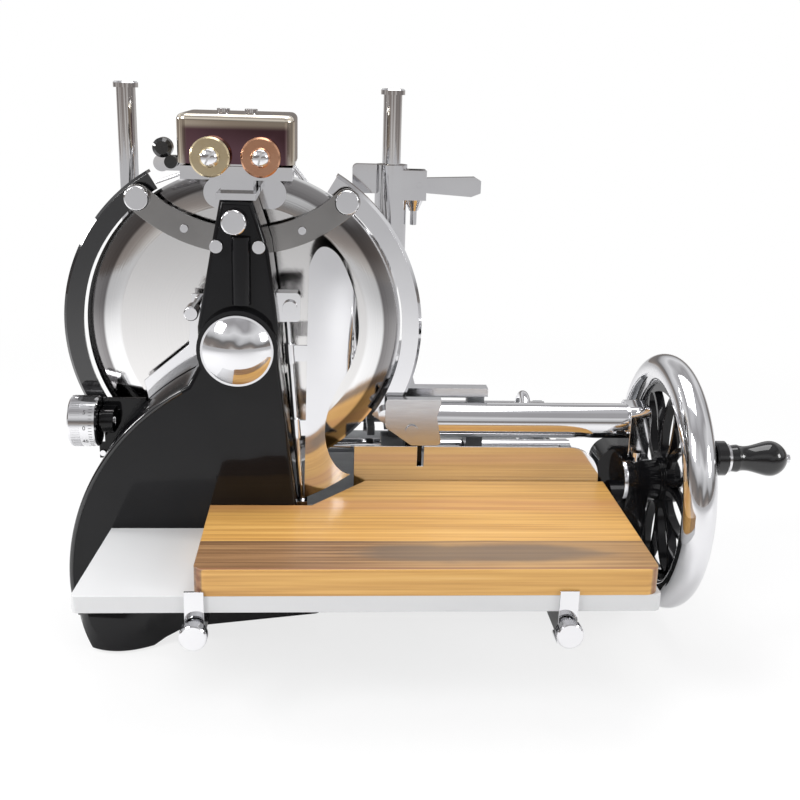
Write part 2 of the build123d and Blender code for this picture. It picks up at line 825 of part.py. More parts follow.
with BuildPart() as guard_yoke:
    with BuildSketch(front_plane(yoke_back_y)):
        with Locations((yoke_arc_x, yoke_arc_z)):
            Circle(yoke_radius + yoke_width / 2)
            Circle(yoke_radius - yoke_width / 2, mode=Mode.SUBTRACT)
        with BuildLine():
            Polyline(
                (yoke_arc_x, yoke_arc_z),
                (2 * left_knob[0] - yoke_arc_x, 2 * left_knob[1] - yoke_arc_z),
                (2 * right_knob[0] - yoke_arc_x, 2 * right_knob[1] - yoke_arc_z),
                close=True,
            )
        make_face(mode=Mode.INTERSECT)
        with Locations(left_knob, right_knob):
            Circle(yoke_width / 2)
        with Locations(left_knob, right_knob):
            Circle(knob_stud_radius + running_gap, mode=Mode.SUBTRACT)
        with Locations(*yoke_screw_places):
            Circle(screw_radius + running_gap, mode=Mode.SUBTRACT)
    extrude(amount=yoke_thickness)
finish(guard_yoke, "guard_yoke")

with BuildPart() as guard_knobs:
    for x, z in (left_knob, right_knob):
        cylinder_y(yoke_knob_radius, yoke_front_y - yoke_knob_height, yoke_front_y, x, z)
        cylinder_y(knob_stud_radius, yoke_front_y, guard_front_y, x, z)
    cylinder_y(11.5, casting_front_y - 13, casting_front_y, *column_knob_place)
    cylinder_y(screw_radius, casting_front_y, casting_front_y + 30, *column_knob_place)
    knob_rims = guard_knobs.edges().filter_by(GeomType.CIRCLE).group_by(SortBy.RADIUS)
    chamfer(knob_rims[-1].sort_by(Axis.Y)[:2] + knob_rims[-2].sort_by(Axis.Y)[:1], length=1.2)
finish(guard_knobs, "guard_knobs")

with BuildPart() as guard_bracket:
    with BuildSketch(front_plane(bracket_front_y + bracket_thickness)):
        with BuildLine():
            Polyline(
                (bracket_left_x, bracket_bottom_z + 20),
                (bracket_left_x, bracket_top_z),
                (bracket_right_x, bracket_top_z),
                (bracket_right_x - 6, bracket_top_z - 18),
                (bracket_right_x, bracket_bottom_z),
                (bracket_right_x - 32, bracket_bottom_z),
                close=True,
            )
        make_face()
    extrude(amount=bracket_thickness)
    fillet(guard_bracket.edges().filter_by(Axis.Y), radius=5)
    block(
        (bracket_left_x + 2, bracket_front_y, bracket_top_z - bracket_thickness),
        (bracket_right_x - 2, bracket_front_y + 11, bracket_top_z),
    )
    cylinder_y(4, carrier_front_y - 4.2, carrier_front_y, bracket_left_x + 28, bracket_top_z - 34)
    cylinder_y(6.5, bracket_front_y - 2.5, bracket_front_y, bracket_left_x + 28, bracket_top_z - 34)
finish(guard_bracket, "guard_bracket")

# ---------------------------------------------------------------- boards, arms, clips and backsplash
with BuildPart() as wood_board:
    with BuildSketch(Plane.XY.offset(wood_bottom_z)):
        with BuildLine():
            Polyline(
                (board_left_x, board_front_y),
                (board_right_x, board_front_y),
                (board_right_x, board_back_y),
                (board_step_right_x, board_back_y),
                (board_step_left_x, casting_front_y - board_gap),
                (board_left_x, casting_front_y - board_gap),
                close=True,
            )
        make_face()
    extrude(amount=wood_thickness)
    outer_corners = wood_board.edges().filter_by(Axis.Z).filter_by_position(Axis.Y, board_front_y - 1, board_front_y + 1)
    fillet(outer_corners, radius=board_corner_radius)
    fillet(wood_board.faces().sort_by(Axis.Z)[-1].edges(), radius=1.5)
finish(wood_board, "wood_board")

with BuildPart() as white_board:
    with BuildSketch(Plane.XY.offset(white_bottom_z)):
        with BuildLine():
            Polyline(
                (white_left_front_x, board_front_y),
                (board_right_x + 3, board_front_y),
                (board_right_x + 3, base_front_y - board_gap),
                (board_step_right_x, base_front_y - board_gap),
                (board_step_left_x, casting_front_y - board_gap),
                (white_left_back_x, casting_front_y - board_gap),
                close=True,
            )
        make_face()
    extrude(amount=white_thickness)
    outer_corners = white_board.edges().filter_by(Axis.Z).filter_by_position(Axis.Y, board_front_y - 1, board_front_y + 1)
    fillet(outer_corners, radius=board_corner_radius / 2)
finish(white_board, "white_board")

with BuildPart() as board_arms:
    arm_bottom_z = white_bottom_z - arm_height
    for x, back_y in ((clip_left_x, casting_front_y), (clip_right_x, base_front_y)):
        block((x - arm_width / 2, board_front_y, arm_bottom_z), (x + arm_width / 2, back_y, white_bottom_z))
        cylinder_y(
            screw_radius + running_gap, board_front_y - 1, board_front_y + 16, x, white_bottom_z - screw_drop,
            Mode.SUBTRACT,
        )
    block(
        (clip_left_x, board_front_y + 90, arm_bottom_z + 3),
        (clip_right_x, board_front_y + 104, arm_bottom_z + 11),
    )
    block(
        (clip_right_x - 24, base_front_y - 6, arm_bottom_z - 10), (clip_right_x + 24, base_front_y, white_bottom_z)
    )
    block(
        (clip_left_x - 24, casting_front_y - 6, arm_bottom_z - 10),
        (clip_left_x + 24, casting_front_y, white_bottom_z),
    )
finish(board_arms, "board_arms")

clip_screw_z = white_bottom_z - screw_drop
clip_front_y = board_front_y - clip_thickness
with BuildPart() as board_clips:
    for x in (clip_left_x, clip_right_x):
        block(
            (x - clip_width / 2, clip_front_y, arm_bottom_z - 2),
            (x + clip_width / 2, board_front_y, wood_bottom_z + 5),
        )
        block(
            (x - clip_width / 2, clip_front_y, arm_bottom_z - 2 - clip_thickness),
            (x + clip_width / 2, board_front_y + 18, arm_bottom_z - 2),
        )
        cylinder_y(screw_radius + running_gap, clip_front_y - 1, board_front_y + 1, x, clip_screw_z, Mode.SUBTRACT)
finish(board_clips, "board_clips")

for label, x in (("clip_screw_left", clip_left_x), ("clip_screw_right", clip_right_x)):
    with BuildPart() as clip_screw:
        knob_back_y = clip_front_y - seat_gap
        cylinder_y(thumbscrew_radius, knob_back_y - thumbscrew_length, knob_back_y - 4, x, clip_screw_z)
        chamfer(clip_screw.edges().filter_by(GeomType.CIRCLE), length=1)
        cylinder_y(thumbscrew_radius - 4, knob_back_y - 4, knob_back_y, x, clip_screw_z)
        cylinder_y(screw_radius, knob_back_y - 1, board_front_y + 14, x, clip_screw_z)
    finish(clip_screw, label)

with BuildPart() as backsplash:
    splash_top_z = wood_top_z + splash_height
    with BuildSketch(front_plane(board_back_y + slip_gap + splash_thickness)):
        with BuildLine():
            corner_x = board_right_x - 6
            Polyline(
                (corner_x, wood_top_z),
                (corner_x, deck_top_z),
                (splash_left_x, deck_top_z),
                (splash_left_x, splash_top_z),
                (corner_x - splash_corner_radius, splash_top_z),
            )
            ThreePointArc(
                (corner_x - splash_corner_radius, splash_top_z),
                (corner_x - splash_corner_radius * 0.29, splash_top_z - splash_corner_radius * 0.29),
                (corner_x, splash_top_z - splash_corner_radius),
            )
            Line((corner_x, splash_top_z - splash_corner_radius), (corner_x, wood_top_z))
        make_face()
        with Locations((splash_slot_x, splash_top_z)):
            Rectangle(7, 44, mode=Mode.SUBTRACT)
    extrude(amount=splash_thickness)
    block(
        (tube_left_x + 6, board_back_y + slip_gap, deck_top_z),
        (base_right_x - 8, board_back_y + 16, deck_top_z + splash_thickness),
    )
finish(backsplash, "backsplash")

# ---------------------------------------------------------------- guide tube and its two carriers
tube_bore = tube_radius - tube_wall
with BuildPart() as guide_tube:
    cylinder_x(tube_radius, tube_left_x, tube_right_x, tube_y, tube_z)
    cylinder_x(tube_bore, tube_left_x - 1, tube_right_x + 1, tube_y, tube_z, Mode.SUBTRACT)
finish(guide_tube, "guide_tube")

with BuildPart() as tube_carrier:
    block(
        (tube_left_x - carrier_thickness, carrier_front_y, deck_top_z),
        (tube_left_x, carrier_back_y, tube_z + tube_radius + 1),
    )
    fillet(tube_carrier.edges().filter_by(Axis.X).sort_by(Axis.Z)[-2:], radius=12)
    cylinder_x(tube_bore, tube_left_x, tube_left_x + 20, tube_y, tube_z)
finish(tube_carrier, "tube_carrier")

with BuildPart() as tube_bracket:
    block(
        (tube_right_x, tube_y - 22, bracket_seat_z),
        (tube_right_x + tube_bracket_width, tube_y + 22, tube_z + tube_radius + 1),
    )
    fillet(tube_bracket.edges().filter_by(Axis.X).sort_by(Axis.Z)[-2:], radius=10)
    cylinder_x(tube_bore, tube_right_x - 20, tube_right_x, tube_y, tube_z)
finish(tube_bracket, "tube_bracket")

# ---------------------------------------------------------------- right arm: gear case, hub and tower
hub_right_x = 310.0
case_radius = drive_gear_radius + 0.8 * gear_module + 1.5 + case_wall
case_cavity_radius = case_radius - case_wall
pinion_cavity_radius = wheel_pinion_radius + 0.8 * gear_module + 1.2
case_cover_x = case_right_x - case_wall


def case_profile(pinion_circle, gear_circle):
    """The gear case's side view, as a hull round the three gears, in the open sketch."""
    with BuildSketch(mode=Mode.PRIVATE) as hull:
        with Locations((idler_y, idler_z), (drive_y, drive_z)):
            Circle(gear_circle)
        make_hull()
    with BuildSketch(mode=Mode.PRIVATE) as neck:
        with Locations((flywheel_y, flywheel_z)):
            Circle(pinion_circle)
        with Locations((idler_y, idler_z)):
            Circle(gear_circle - 6)
        make_hull()
    return [hull.sketch, neck.sketch]


with BuildPart() as right_arm:
    with BuildSketch(side_plane(case_left_x)):
        add(case_profile(hub_housing_radius - 4, case_radius)[0])
        with Locations((drive_y - 13, feet_height + 14)):
            Rectangle(50, 28)
    extrude(amount=case_cover_x - case_left_x)
    with BuildSketch(side_plane(hub_left_x)):
        for profile in case_profile(hub_housing_radius, case_radius):
            add(profile)
    extrude(amount=case_cover_x - hub_left_x)
    cylinder_x(hub_housing_radius, hub_left_x, hub_right_x, flywheel_y, flywheel_z)
    with BuildSketch(side_plane(base_right_x)):
        with Locations(((tower_front_y + tower_back_y) / 2, (tower_top_z + feet_height + 10) / 2)):
            Rectangle(tower_back_y - tower_front_y, tower_top_z - feet_height - 10)
    extrude(amount=tube_right_x - base_right_x)
    tower_edge = right_arm.edges().filter_by(Axis.Y).filter_by_position(Axis.Z, tower_top_z - 1, tower_top_z + 1)
    fillet(tower_edge.sort_by(Axis.X)[0], radius=tower_shoulder_radius)
    block(
        (tube_right_x, tower_front_y, bracket_seat_z - 40),
        (case_cover_x, tower_back_y, bracket_seat_z),
    )
    with BuildSketch(side_plane(gear_left_x - 1)):
        for profile in case_profile(pinion_cavity_radius, case_cavity_radius):
            add(profile)
    extrude(amount=case_cover_x - gear_left_x + 2, mode=Mode.SUBTRACT)
    cylinder_x(idler_pin_radius, gear_left_x - 2, case_cover_x, idler_y, idler_z)
    cylinder_x(shaft_bore, base_right_x - 1, gear_left_x, drive_y, drive_z, Mode.SUBTRACT)
    cylinder_x(wheel_bush_radius, hub_left_x - 1, hub_right_x + 1, flywheel_y, flywheel_z, Mode.SUBTRACT)
    cylinder_x(pinion_cavity_radius, gear_left_x - 1, gear_right_x + 1, flywheel_y, flywheel_z, Mode.SUBTRACT)
finish(right_arm, "right_arm")

with BuildPart() as gear_case_cover:
    with BuildSketch(side_plane(case_cover_x)):
        for profile in case_profile(hub_housing_radius - 1, case_radius):
            add(profile)
        with Locations((flywheel_y, flywheel_z)):
            Circle(hub_housing_radius + slip_gap, mode=Mode.SUBTRACT)
    extrude(amount=case_wall)
finish(gear_case_cover, "gear_case_cover")

# ---------------------------------------------------------------- flywheel, its shaft and the crank handle
handle_y = flywheel_y + handle_circle_radius * cos(radians(handle_angle))
handle_z = flywheel_z + handle_circle_radius * sin(radians(handle_angle))
rim_centre_radius = flywheel_radius - rim_radius
web_left_x = flywheel_x - web_thickness / 2

with BuildPart() as flywheel_rim:
    with BuildSketch(Plane((0, flywheel_y, flywheel_z), x_dir=(1, 0, 0), z_dir=(0, -1, 0))):
        with Locations((flywheel_x, rim_centre_radius)):
            Circle(rim_radius)
        with Locations((flywheel_x, 0)):
            Rectangle(4 * rim_radius, 2 * web_radius, mode=Mode.SUBTRACT)
    revolve(axis=Axis((0, flywheel_y, flywheel_z), (1, 0, 0)))
    cylinder_x(handle_pin_radius, flywheel_x - rim_radius, flywheel_x + rim_radius + 1, handle_y, handle_z,
               Mode.SUBTRACT)
finish(flywheel_rim, "flywheel_rim")

with BuildPart() as flywheel_spider:
    with BuildSketch(side_plane(web_left_x)):
        with Locations((flywheel_y, flywheel_z)):
            Circle(web_radius)
            Circle(web_radius - web_ring_width, mode=Mode.SUBTRACT)
            for petal in range(petal_count):
                middle = handle_angle + 360 * petal / petal_count
                with PolarLocations(petal_centre_radius, 1, start_angle=middle):
                    Ellipse(petal_length / 2, petal_width / 2)
            for petal in range(petal_count):
                middle = handle_angle + 360 * petal / petal_count
                with PolarLocations(petal_centre_radius, 1, start_angle=middle):
                    Ellipse(petal_length / 2 - petal_bar, petal_width / 2 - petal_bar, mode=Mode.SUBTRACT)
            Circle(web_hub_radius)
    extrude(amount=web_thickness)
    cylinder_x(wheel_hub_radius, hub_right_x + seat_gap, wheel_hub_right_x, flywheel_y, flywheel_z)
    cylinder_x(wheel_shaft_radius, hub_right_x, wheel_hub_right_x + 1, flywheel_y, flywheel_z, Mode.SUBTRACT)
    cylinder_x(handle_pin_radius, flywheel_x - rim_radius, flywheel_x + rim_radius, handle_y, handle_z,
               Mode.SUBTRACT)
finish(flywheel_spider, "flywheel_spider")

with BuildPart() as flywheel_shaft:
    cylinder_x(wheel_shaft_radius, hub_left_x + 1.5, wheel_hub_right_x, flywheel_y, flywheel_z)
    with BuildSketch(side_plane(gear_left_x)) as teeth:
        with Locations((flywheel_y, flywheel_z)):
            gear_face(wheel_pinion_teeth, train_angle)
    extrude(amount=gear_width)
    cylinder_x(wheel_hub_radius - 8, wheel_hub_right_x, wheel_hub_right_x + 4, flywheel_y, flywheel_z)
    cylinder_x(9, wheel_hub_right_x + 4, wheel_hub_right_x + 8, flywheel_y, flywheel_z)
finish(flywheel_shaft, "flywheel_shaft")

with BuildPart() as handle_pin:
    cylinder_x(handle_pin_radius, flywheel_x - 6, collar_right_x, handle_y, handle_z)
    cylinder_x(collar_radius, collar_left_x, collar_right_x, handle_y, handle_z)
    chamfer(handle_pin.edges().filter_by(GeomType.CIRCLE).group_by(SortBy.RADIUS)[-1], length=1.5)
    cylinder_x(grip_pin_radius, collar_right_x, grip_left_x + grip_length - 6, handle_y, handle_z)
finish(handle_pin, "handle_pin")

with BuildPart() as handle_grip:
    grip_right_x = grip_left_x + grip_length
    with BuildSketch(Plane((0, handle_y, handle_z), x_dir=(1, 0, 0), z_dir=(0, -1, 0))):
        with BuildLine():
            Polyline(
                (grip_left_x, grip_pin_radius + running_gap),
                (grip_left_x, grip_neck_radius),
                (grip_left_x + 8, grip_neck_radius + 1),
            )
            Spline(
                (grip_left_x + 8, grip_neck_radius + 1),
                (grip_left_x + 0.55 * grip_length, grip_radius - 1.5),
                (grip_right_x - 14, grip_radius),
                (grip_right_x - 3, grip_radius - 7),
                (grip_right_x, 4),
            )
            Polyline(
                (grip_right_x, 4),
                (grip_right_x, 0),
                (grip_right_x - 5, 0),
                (grip_right_x - 5, grip_pin_radius + running_gap),
                (grip_left_x, grip_pin_radius + running_gap),
            )
        make_face()
    revolve(axis=Axis((0, handle_y, handle_z), (1, 0, 0)))
finish(handle_grip, "handle_grip")

with BuildPart() as grip_caps:
    cylinder_x(grip_neck_radius + 1.5, collar_right_x + seat_gap, grip_left_x, handle_y, handle_z)
    cylinder_x(grip_pin_radius + running_gap, collar_right_x, grip_left_x + 1, handle_y, handle_z, Mode.SUBTRACT)
    cylinder_x(4, grip_right_x, grip_right_x + 3, handle_y, handle_z)
finish(grip_caps, "grip_caps")

# ---------------------------------------------------------------- gear train, bevel pair and cross shaft
with BuildPart() as idler_gear:
    with BuildSketch(side_plane(gear_left_x)):
        with Locations((idler_y, idler_z)):
            gear_face(idler_teeth, train_angle + 180 + 180 / idler_teeth)
            Circle(idler_pin_radius + running_gap, mode=Mode.SUBTRACT)
    extrude(amount=gear_width)
finish(idler_gear, "idler_gear")

with BuildPart() as drive_gear:
    with BuildSketch(side_plane(gear_left_x)):
        with Locations((drive_y, drive_z)):
            gear_face(drive_gear_teeth, train_angle + 180)
            Circle(drive_shaft_radius, mode=Mode.SUBTRACT)
    extrude(amount=gear_width)
finish(drive_gear, "drive_gear")

bevel_reach = hypot(bevel_wheel_radius, bevel_pinion_radius)
drive_shaft_left_x = knife_x + knife_shaft_radius + 4
bevel_wheel_x = knife_x + bevel_pinion_radius
bevel_pinion_y = drive_y + bevel_wheel_radius


def bevel_gear(teeth, own_radius, mate_radius, back_length, bore, first_angle):
    """A bevel gear with its apex at the origin and its back towards +Z."""
    cone = atan2(own_radius, mate_radius)
    shrink = (bevel_reach - bevel_face) / bevel_reach
    tooth_half = (pi * gear_module / 2 - gear_backlash) / 2
    with BuildPart() as gear:
        with BuildSketch(Plane.XZ):
            with BuildLine():
                foot = 1.2 * gear_module
                outer_r = own_radius - foot * cos(cone)
                outer_h = mate_radius + foot * sin(cone)
                Polyline(
                    (bore, mate_radius * shrink + foot * sin(cone)),
                    (own_radius * shrink - foot * cos(cone), mate_radius * shrink + foot * sin(cone)),
                    (outer_r, outer_h),
                    (outer_r, mate_radius + back_length),
                    (bore, mate_radius + back_length),
                    close=True,
                )
            make_face()
        revolve(axis=Axis.Z)
        sections = []
        for scale_now in (1, shrink):
            centre = (own_radius * scale_now, 0, mate_radius * scale_now)
            normal = (sin(cone), 0, cos(cone))
            with BuildSketch(Plane(centre, x_dir=(0, 1, 0), z_dir=normal), mode=Mode.PRIVATE) as section:
                Polygon(
                    (-1.55 * tooth_half * scale_now, 1.35 * gear_module),
                    (1.55 * tooth_half * scale_now, 1.35 * gear_module),
                    (0.5 * tooth_half * scale_now, -0.75 * gear_module * scale_now),
                    (-0.5 * tooth_half * scale_now, -0.75 * gear_module * scale_now),
                    align=None,
                )
            sections.append(section.sketch.face())
        tooth = Solid.make_loft([section.outer_wire() for section in sections], ruled=True)
        for index in range(teeth):
            add(tooth.rotate(Axis.Z, first_angle + 360 * index / teeth))
    return gear.part


with BuildPart() as bevel_wheel:
    wheel_apex = Plane((knife_x, drive_y, drive_z), x_dir=(0, 1, 0), z_dir=(1, 0, 0))
    add(
        bevel_gear(bevel_wheel_teeth, bevel_wheel_radius, bevel_pinion_radius, 7, drive_shaft_radius, 0).moved(
            wheel_apex.location
        )
    )
finish(bevel_wheel, "bevel_wheel")

with BuildPart() as drive_shaft:
    cylinder_x(drive_shaft_radius, drive_shaft_left_x, gear_right_x + 1, drive_y, drive_z)
finish(drive_shaft, "drive_shaft")

cross_front_y = sprocket_front_y - 8
cross_back_y = bevel_pinion_y + 34
with BuildPart() as cross_shaft:
    pinion_apex = Plane((knife_x, drive_y, drive_z), x_dir=(1, 0, 0), z_dir=(0, 1, 0))
    add(
        bevel_gear(
            bevel_pinion_teeth, bevel_pinion_radius, bevel_wheel_radius, 8, drive_shaft_radius,
            180 / bevel_pinion_teeth,
        ).moved(pinion_apex.location)
    )
    cylinder_y(drive_shaft_radius, cross_front_y, cross_back_y, knife_x, drive_z)
    add(sprocket(lower_sprocket_teeth, drive_z))
finish(cross_shaft, "cross_shaft")

with BuildPart() as bronze_bushes:
    free_drive = drive_shaft_radius + running_gap
    for left_x, right_x in (
        (shaft_block_x, shaft_block_x + bearing_length),
        (base_right_x - base_wall, gear_left_x - 1.5),
    ):
        cylinder_x(shaft_bore, left_x, right_x, drive_y, drive_z)
        cylinder_x(free_drive, left_x - 1, right_x + 1, drive_y, drive_z, Mode.SUBTRACT)
    for front_y, back_y in (
        (rear_block_y, rear_block_y + bearing_length),
        (base_front_y - bearing_length, base_front_y + base_wall),
    ):
        cylinder_y(shaft_bore, front_y, back_y, knife_x, drive_z)
        cylinder_y(free_drive, front_y - 1, back_y + 1, knife_x, drive_z, Mode.SUBTRACT)
    for front_y, back_y in (
        (casting_front_y - boss_height, casting_front_y + casting_wall),
        (back_plate_y - 12, back_plate_y + 6),
    ):
        cylinder_y(bush_radius, front_y, back_y, knife_x, knife_z)
        cylinder_y(knife_shaft_radius + running_gap, front_y - 1, back_y + 1, knife_x, knife_z, Mode.SUBTRACT)
    for left_x, right_x in ((hub_left_x + 1.5, gear_left_x - 1.2), (gear_right_x + 1.2, hub_right_x)):
        cylinder_x(wheel_bush_radius, left_x, right_x, flywheel_y, flywheel_z)
        cylinder_x(
            wheel_shaft_radius + running_gap, left_x - 1, right_x + 1, flywheel_y, flywheel_z, Mode.SUBTRACT
        )
finish(bronze_bushes, "bronze_bushes")

# ---------------------------------------------------------------- rails, carriage and meat table
with BuildPart() as slide_rails:
    for rail_y in rail_places:
        cylinder_x(rail_radius, rail_left_x, rail_right_x, rail_y, rail_z)
finish(slide_rails, "slide_rails")

sleeve_radius = rail_radius + bush_wall + 5
frame_bottom_z = table_bottom_z - frame_height
pillar_top_z = frame_bottom_z + 1
with BuildPart() as carriage_frame:
    block(
        (carriage_left_x, carriage_front_y, frame_bottom_z),
        (carriage_right_x, carriage_back_y, table_bottom_z),
    )
    block(
        (carriage_left_x + frame_wall, carriage_front_y + frame_wall, frame_bottom_z - 1),
        (carriage_right_x - frame_wall, carriage_back_y - frame_wall, table_bottom_z + 1),
        Mode.SUBTRACT,
    )
    for left_x in sleeve_left_places:
        for rail_y in rail_places:
            cylinder_x(sleeve_radius, left_x, left_x + sleeve_length, rail_y, rail_z)
            block(
                (left_x + 8, rail_y - 9, rail_z),
                (left_x + sleeve_length - 8, rail_y + 9, pillar_top_z),
            )
        block(
            (left_x + 8, front_rail_y - 9, frame_bottom_z),
            (left_x + sleeve_length - 8, back_rail_y + 9, table_bottom_z - 6),
        )
        for rail_y in rail_places:
            cylinder_x(
                rail_radius + bush_wall, left_x - 1, left_x + sleeve_length + 1, rail_y, rail_z, Mode.SUBTRACT
            )
    block(
        (carriage_right_x - 1, carriage_front_y, table_bottom_z - 4.5),
        (leg_right_x, carriage_front_y + frame_wall, table_bottom_z),
    )
    block(
        (leg_right_x - leg_width, carriage_front_y, leg_bottom_z),
        (leg_right_x, carriage_front_y + leg_depth, table_bottom_z),
    )
    block(
        (leg_right_x - leg_width, carriage_front_y, leg_bottom_z),
        (leg_right_x, feed_shaft_y + 12, leg_bottom_z + leg_beam_height),
    )
    block(
        (leg_right_x - leg_width, feed_shaft_y - 12, feed_shaft_z - 12),
        (leg_right_x, feed_shaft_y + 12, leg_bottom_z + leg_beam_height),
    )
    block(
        (sleeve_left_places[1] + 8, feed_shaft_y - 12, feed_shaft_z - 12),
        (sleeve_left_places[1] + sleeve_length - 8, feed_shaft_y + 12, frame_bottom_z + 1),
    )
    cylinder_x(
        feed_shaft_radius + running_gap, sleeve_left_places[1], leg_right_x + 1, feed_shaft_y, feed_shaft_z,
        Mode.SUBTRACT,
    )
finish(carriage_frame, "carriage_frame")

with BuildPart() as carriage_bushes:
    for left_x in sleeve_left_places:
        for rail_y in rail_places:
            cylinder_x(rail_radius + bush_wall, left_x, left_x + sleeve_length, rail_y, rail_z)
            cylinder_x(
                rail_radius + running_gap, left_x - 1, left_x + sleeve_length + 1, rail_y, rail_z, Mode.SUBTRACT
            )
finish(carriage_bushes, "carriage_bushes")

with BuildPart() as meat_table:
    block(
        (carriage_left_x, table_front_y, table_bottom_z),
        (carriage_right_x + 2, carriage_back_y, table_top_z),
    )
    block(
        (carriage_right_x, table_front_y, table_bottom_z),
        (leg_right_x + 2, table_front_y + 16, table_top_z),
    )
    with BuildSketch(Plane.XY.offset(table_top_z)):
        with GridLocations(14, 0, groove_count, 1):
            with Locations(((carriage_left_x + post_right_x) / 2, (table_front_y + carriage_back_y) / 2)):
                Rectangle(3, carriage_back_y - table_front_y - 12)
    extrude(amount=-1.5, mode=Mode.SUBTRACT)
    block(
        (rack_x - slot_width / 2, post_y - slot_reach_front, table_bottom_z - 1),
        (rack_x + slot_width / 2, post_y + slot_reach_back, table_top_z + 1),
        Mode.SUBTRACT,
    )
finish(meat_table, "meat_table")

feed_pinion_radius = gear_module * feed_pinion_teeth / 2
rack_pitch_z = feed_shaft_z + feed_pinion_radius
rack_pitch = pi * gear_module
beam_bottom_z = table_top_z + slip_gap
beam_top_z = beam_bottom_z + beam_height
with BuildPart() as post_carrier:
    block(
        (post_left_x - 13, post_y - beam_depth / 2, beam_bottom_z),
        (post_right_x + 14, post_y + beam_depth / 2, beam_top_z),
    )
    block(
        (rack_x - rack_width / 2, post_y - beam_depth / 2, rack_top_z - 1),
        (rack_x + rack_width / 2, post_y + beam_depth / 2, beam_bottom_z + 1),
    )
    block(
        (rack_x - rack_width / 2, rack_front_y, rack_pitch_z + 1.2 * gear_module),
        (rack_x + rack_width / 2, rack_back_y, rack_top_z),
    )
    tooth_half = (rack_pitch / 2 - gear_backlash) / 2
    first_tooth = -int((feed_shaft_y - rack_front_y - 4) / rack_pitch)
    last_tooth = int((rack_back_y - feed_shaft_y - 4) / rack_pitch)
    with BuildSketch(side_plane(rack_x - rack_width / 2)):
        for index in range(first_tooth, last_tooth + 1):
            tooth_y = feed_shaft_y + (index + 0.5) * rack_pitch
            with Locations((tooth_y, rack_pitch_z)):
                Polygon(
                    (-1.5 * tooth_half, 1.25 * gear_module),
                    (1.5 * tooth_half, 1.25 * gear_module),
                    (0.5 * tooth_half, -0.8 * gear_module),
                    (-0.5 * tooth_half, -0.8 * gear_module),
                    align=None,
                )
    extrude(amount=rack_width)
    for x in (post_left_x, post_right_x):
        cylinder_z(post_radius - 1.6, beam_bottom_z + 2, beam_top_z + 1, x, post_y, Mode.SUBTRACT)
finish(post_carrier, "post_carrier")

with BuildPart() as clamp_posts:
    for x in (post_left_x, post_right_x):
        cylinder_z(post_radius - 1.6, beam_bottom_z + 2, beam_top_z, x, post_y)
        cylinder_z(post_radius, beam_top_z, post_top_z, x, post_y)
        cylinder_z(cap_radius, post_top_z, post_top_z + cap_height, x, post_y)
        cylinder_z(post_radius + 4, beam_top_z, beam_top_z + 6, x, post_y)
    chamfer(clamp_posts.faces().sort_by(Axis.Z)[-2:].edges(), length=1.5)
finish(clamp_posts, "clamp_posts")

with BuildPart() as feed_handwheel:
    with BuildSketch(Plane((0, feed_shaft_y, feed_shaft_z), x_dir=(1, 0, 0), z_dir=(0, -1, 0))):
        with Locations((handwheel_x, handwheel_radius - handwheel_rim)):
            Circle(handwheel_rim)
    revolve(axis=Axis((0, feed_shaft_y, feed_shaft_z), (1, 0, 0)))
    with BuildSketch(side_plane(handwheel_x - 3)):
        with Locations((feed_shaft_y, feed_shaft_z)):
            for angle in (0, 60, 120):
                Rectangle(2 * (handwheel_radius - handwheel_rim), 9, rotation=angle)
            Circle(12)
    extrude(amount=6)
    cylinder_x(feed_shaft_radius, rack_x - 8, handwheel_x + 9, feed_shaft_y, feed_shaft_z)
    cylinder_x(12, handwheel_x - 12, handwheel_x + 6, feed_shaft_y, feed_shaft_z)
    with BuildSketch(side_plane(rack_x - rack_width / 2 - 1)):
        with Locations((feed_shaft_y, feed_shaft_z)):
            gear_face(feed_pinion_teeth, 90)
    extrude(amount=rack_width + 2)
finish(feed_handwheel, "feed_handwheel")

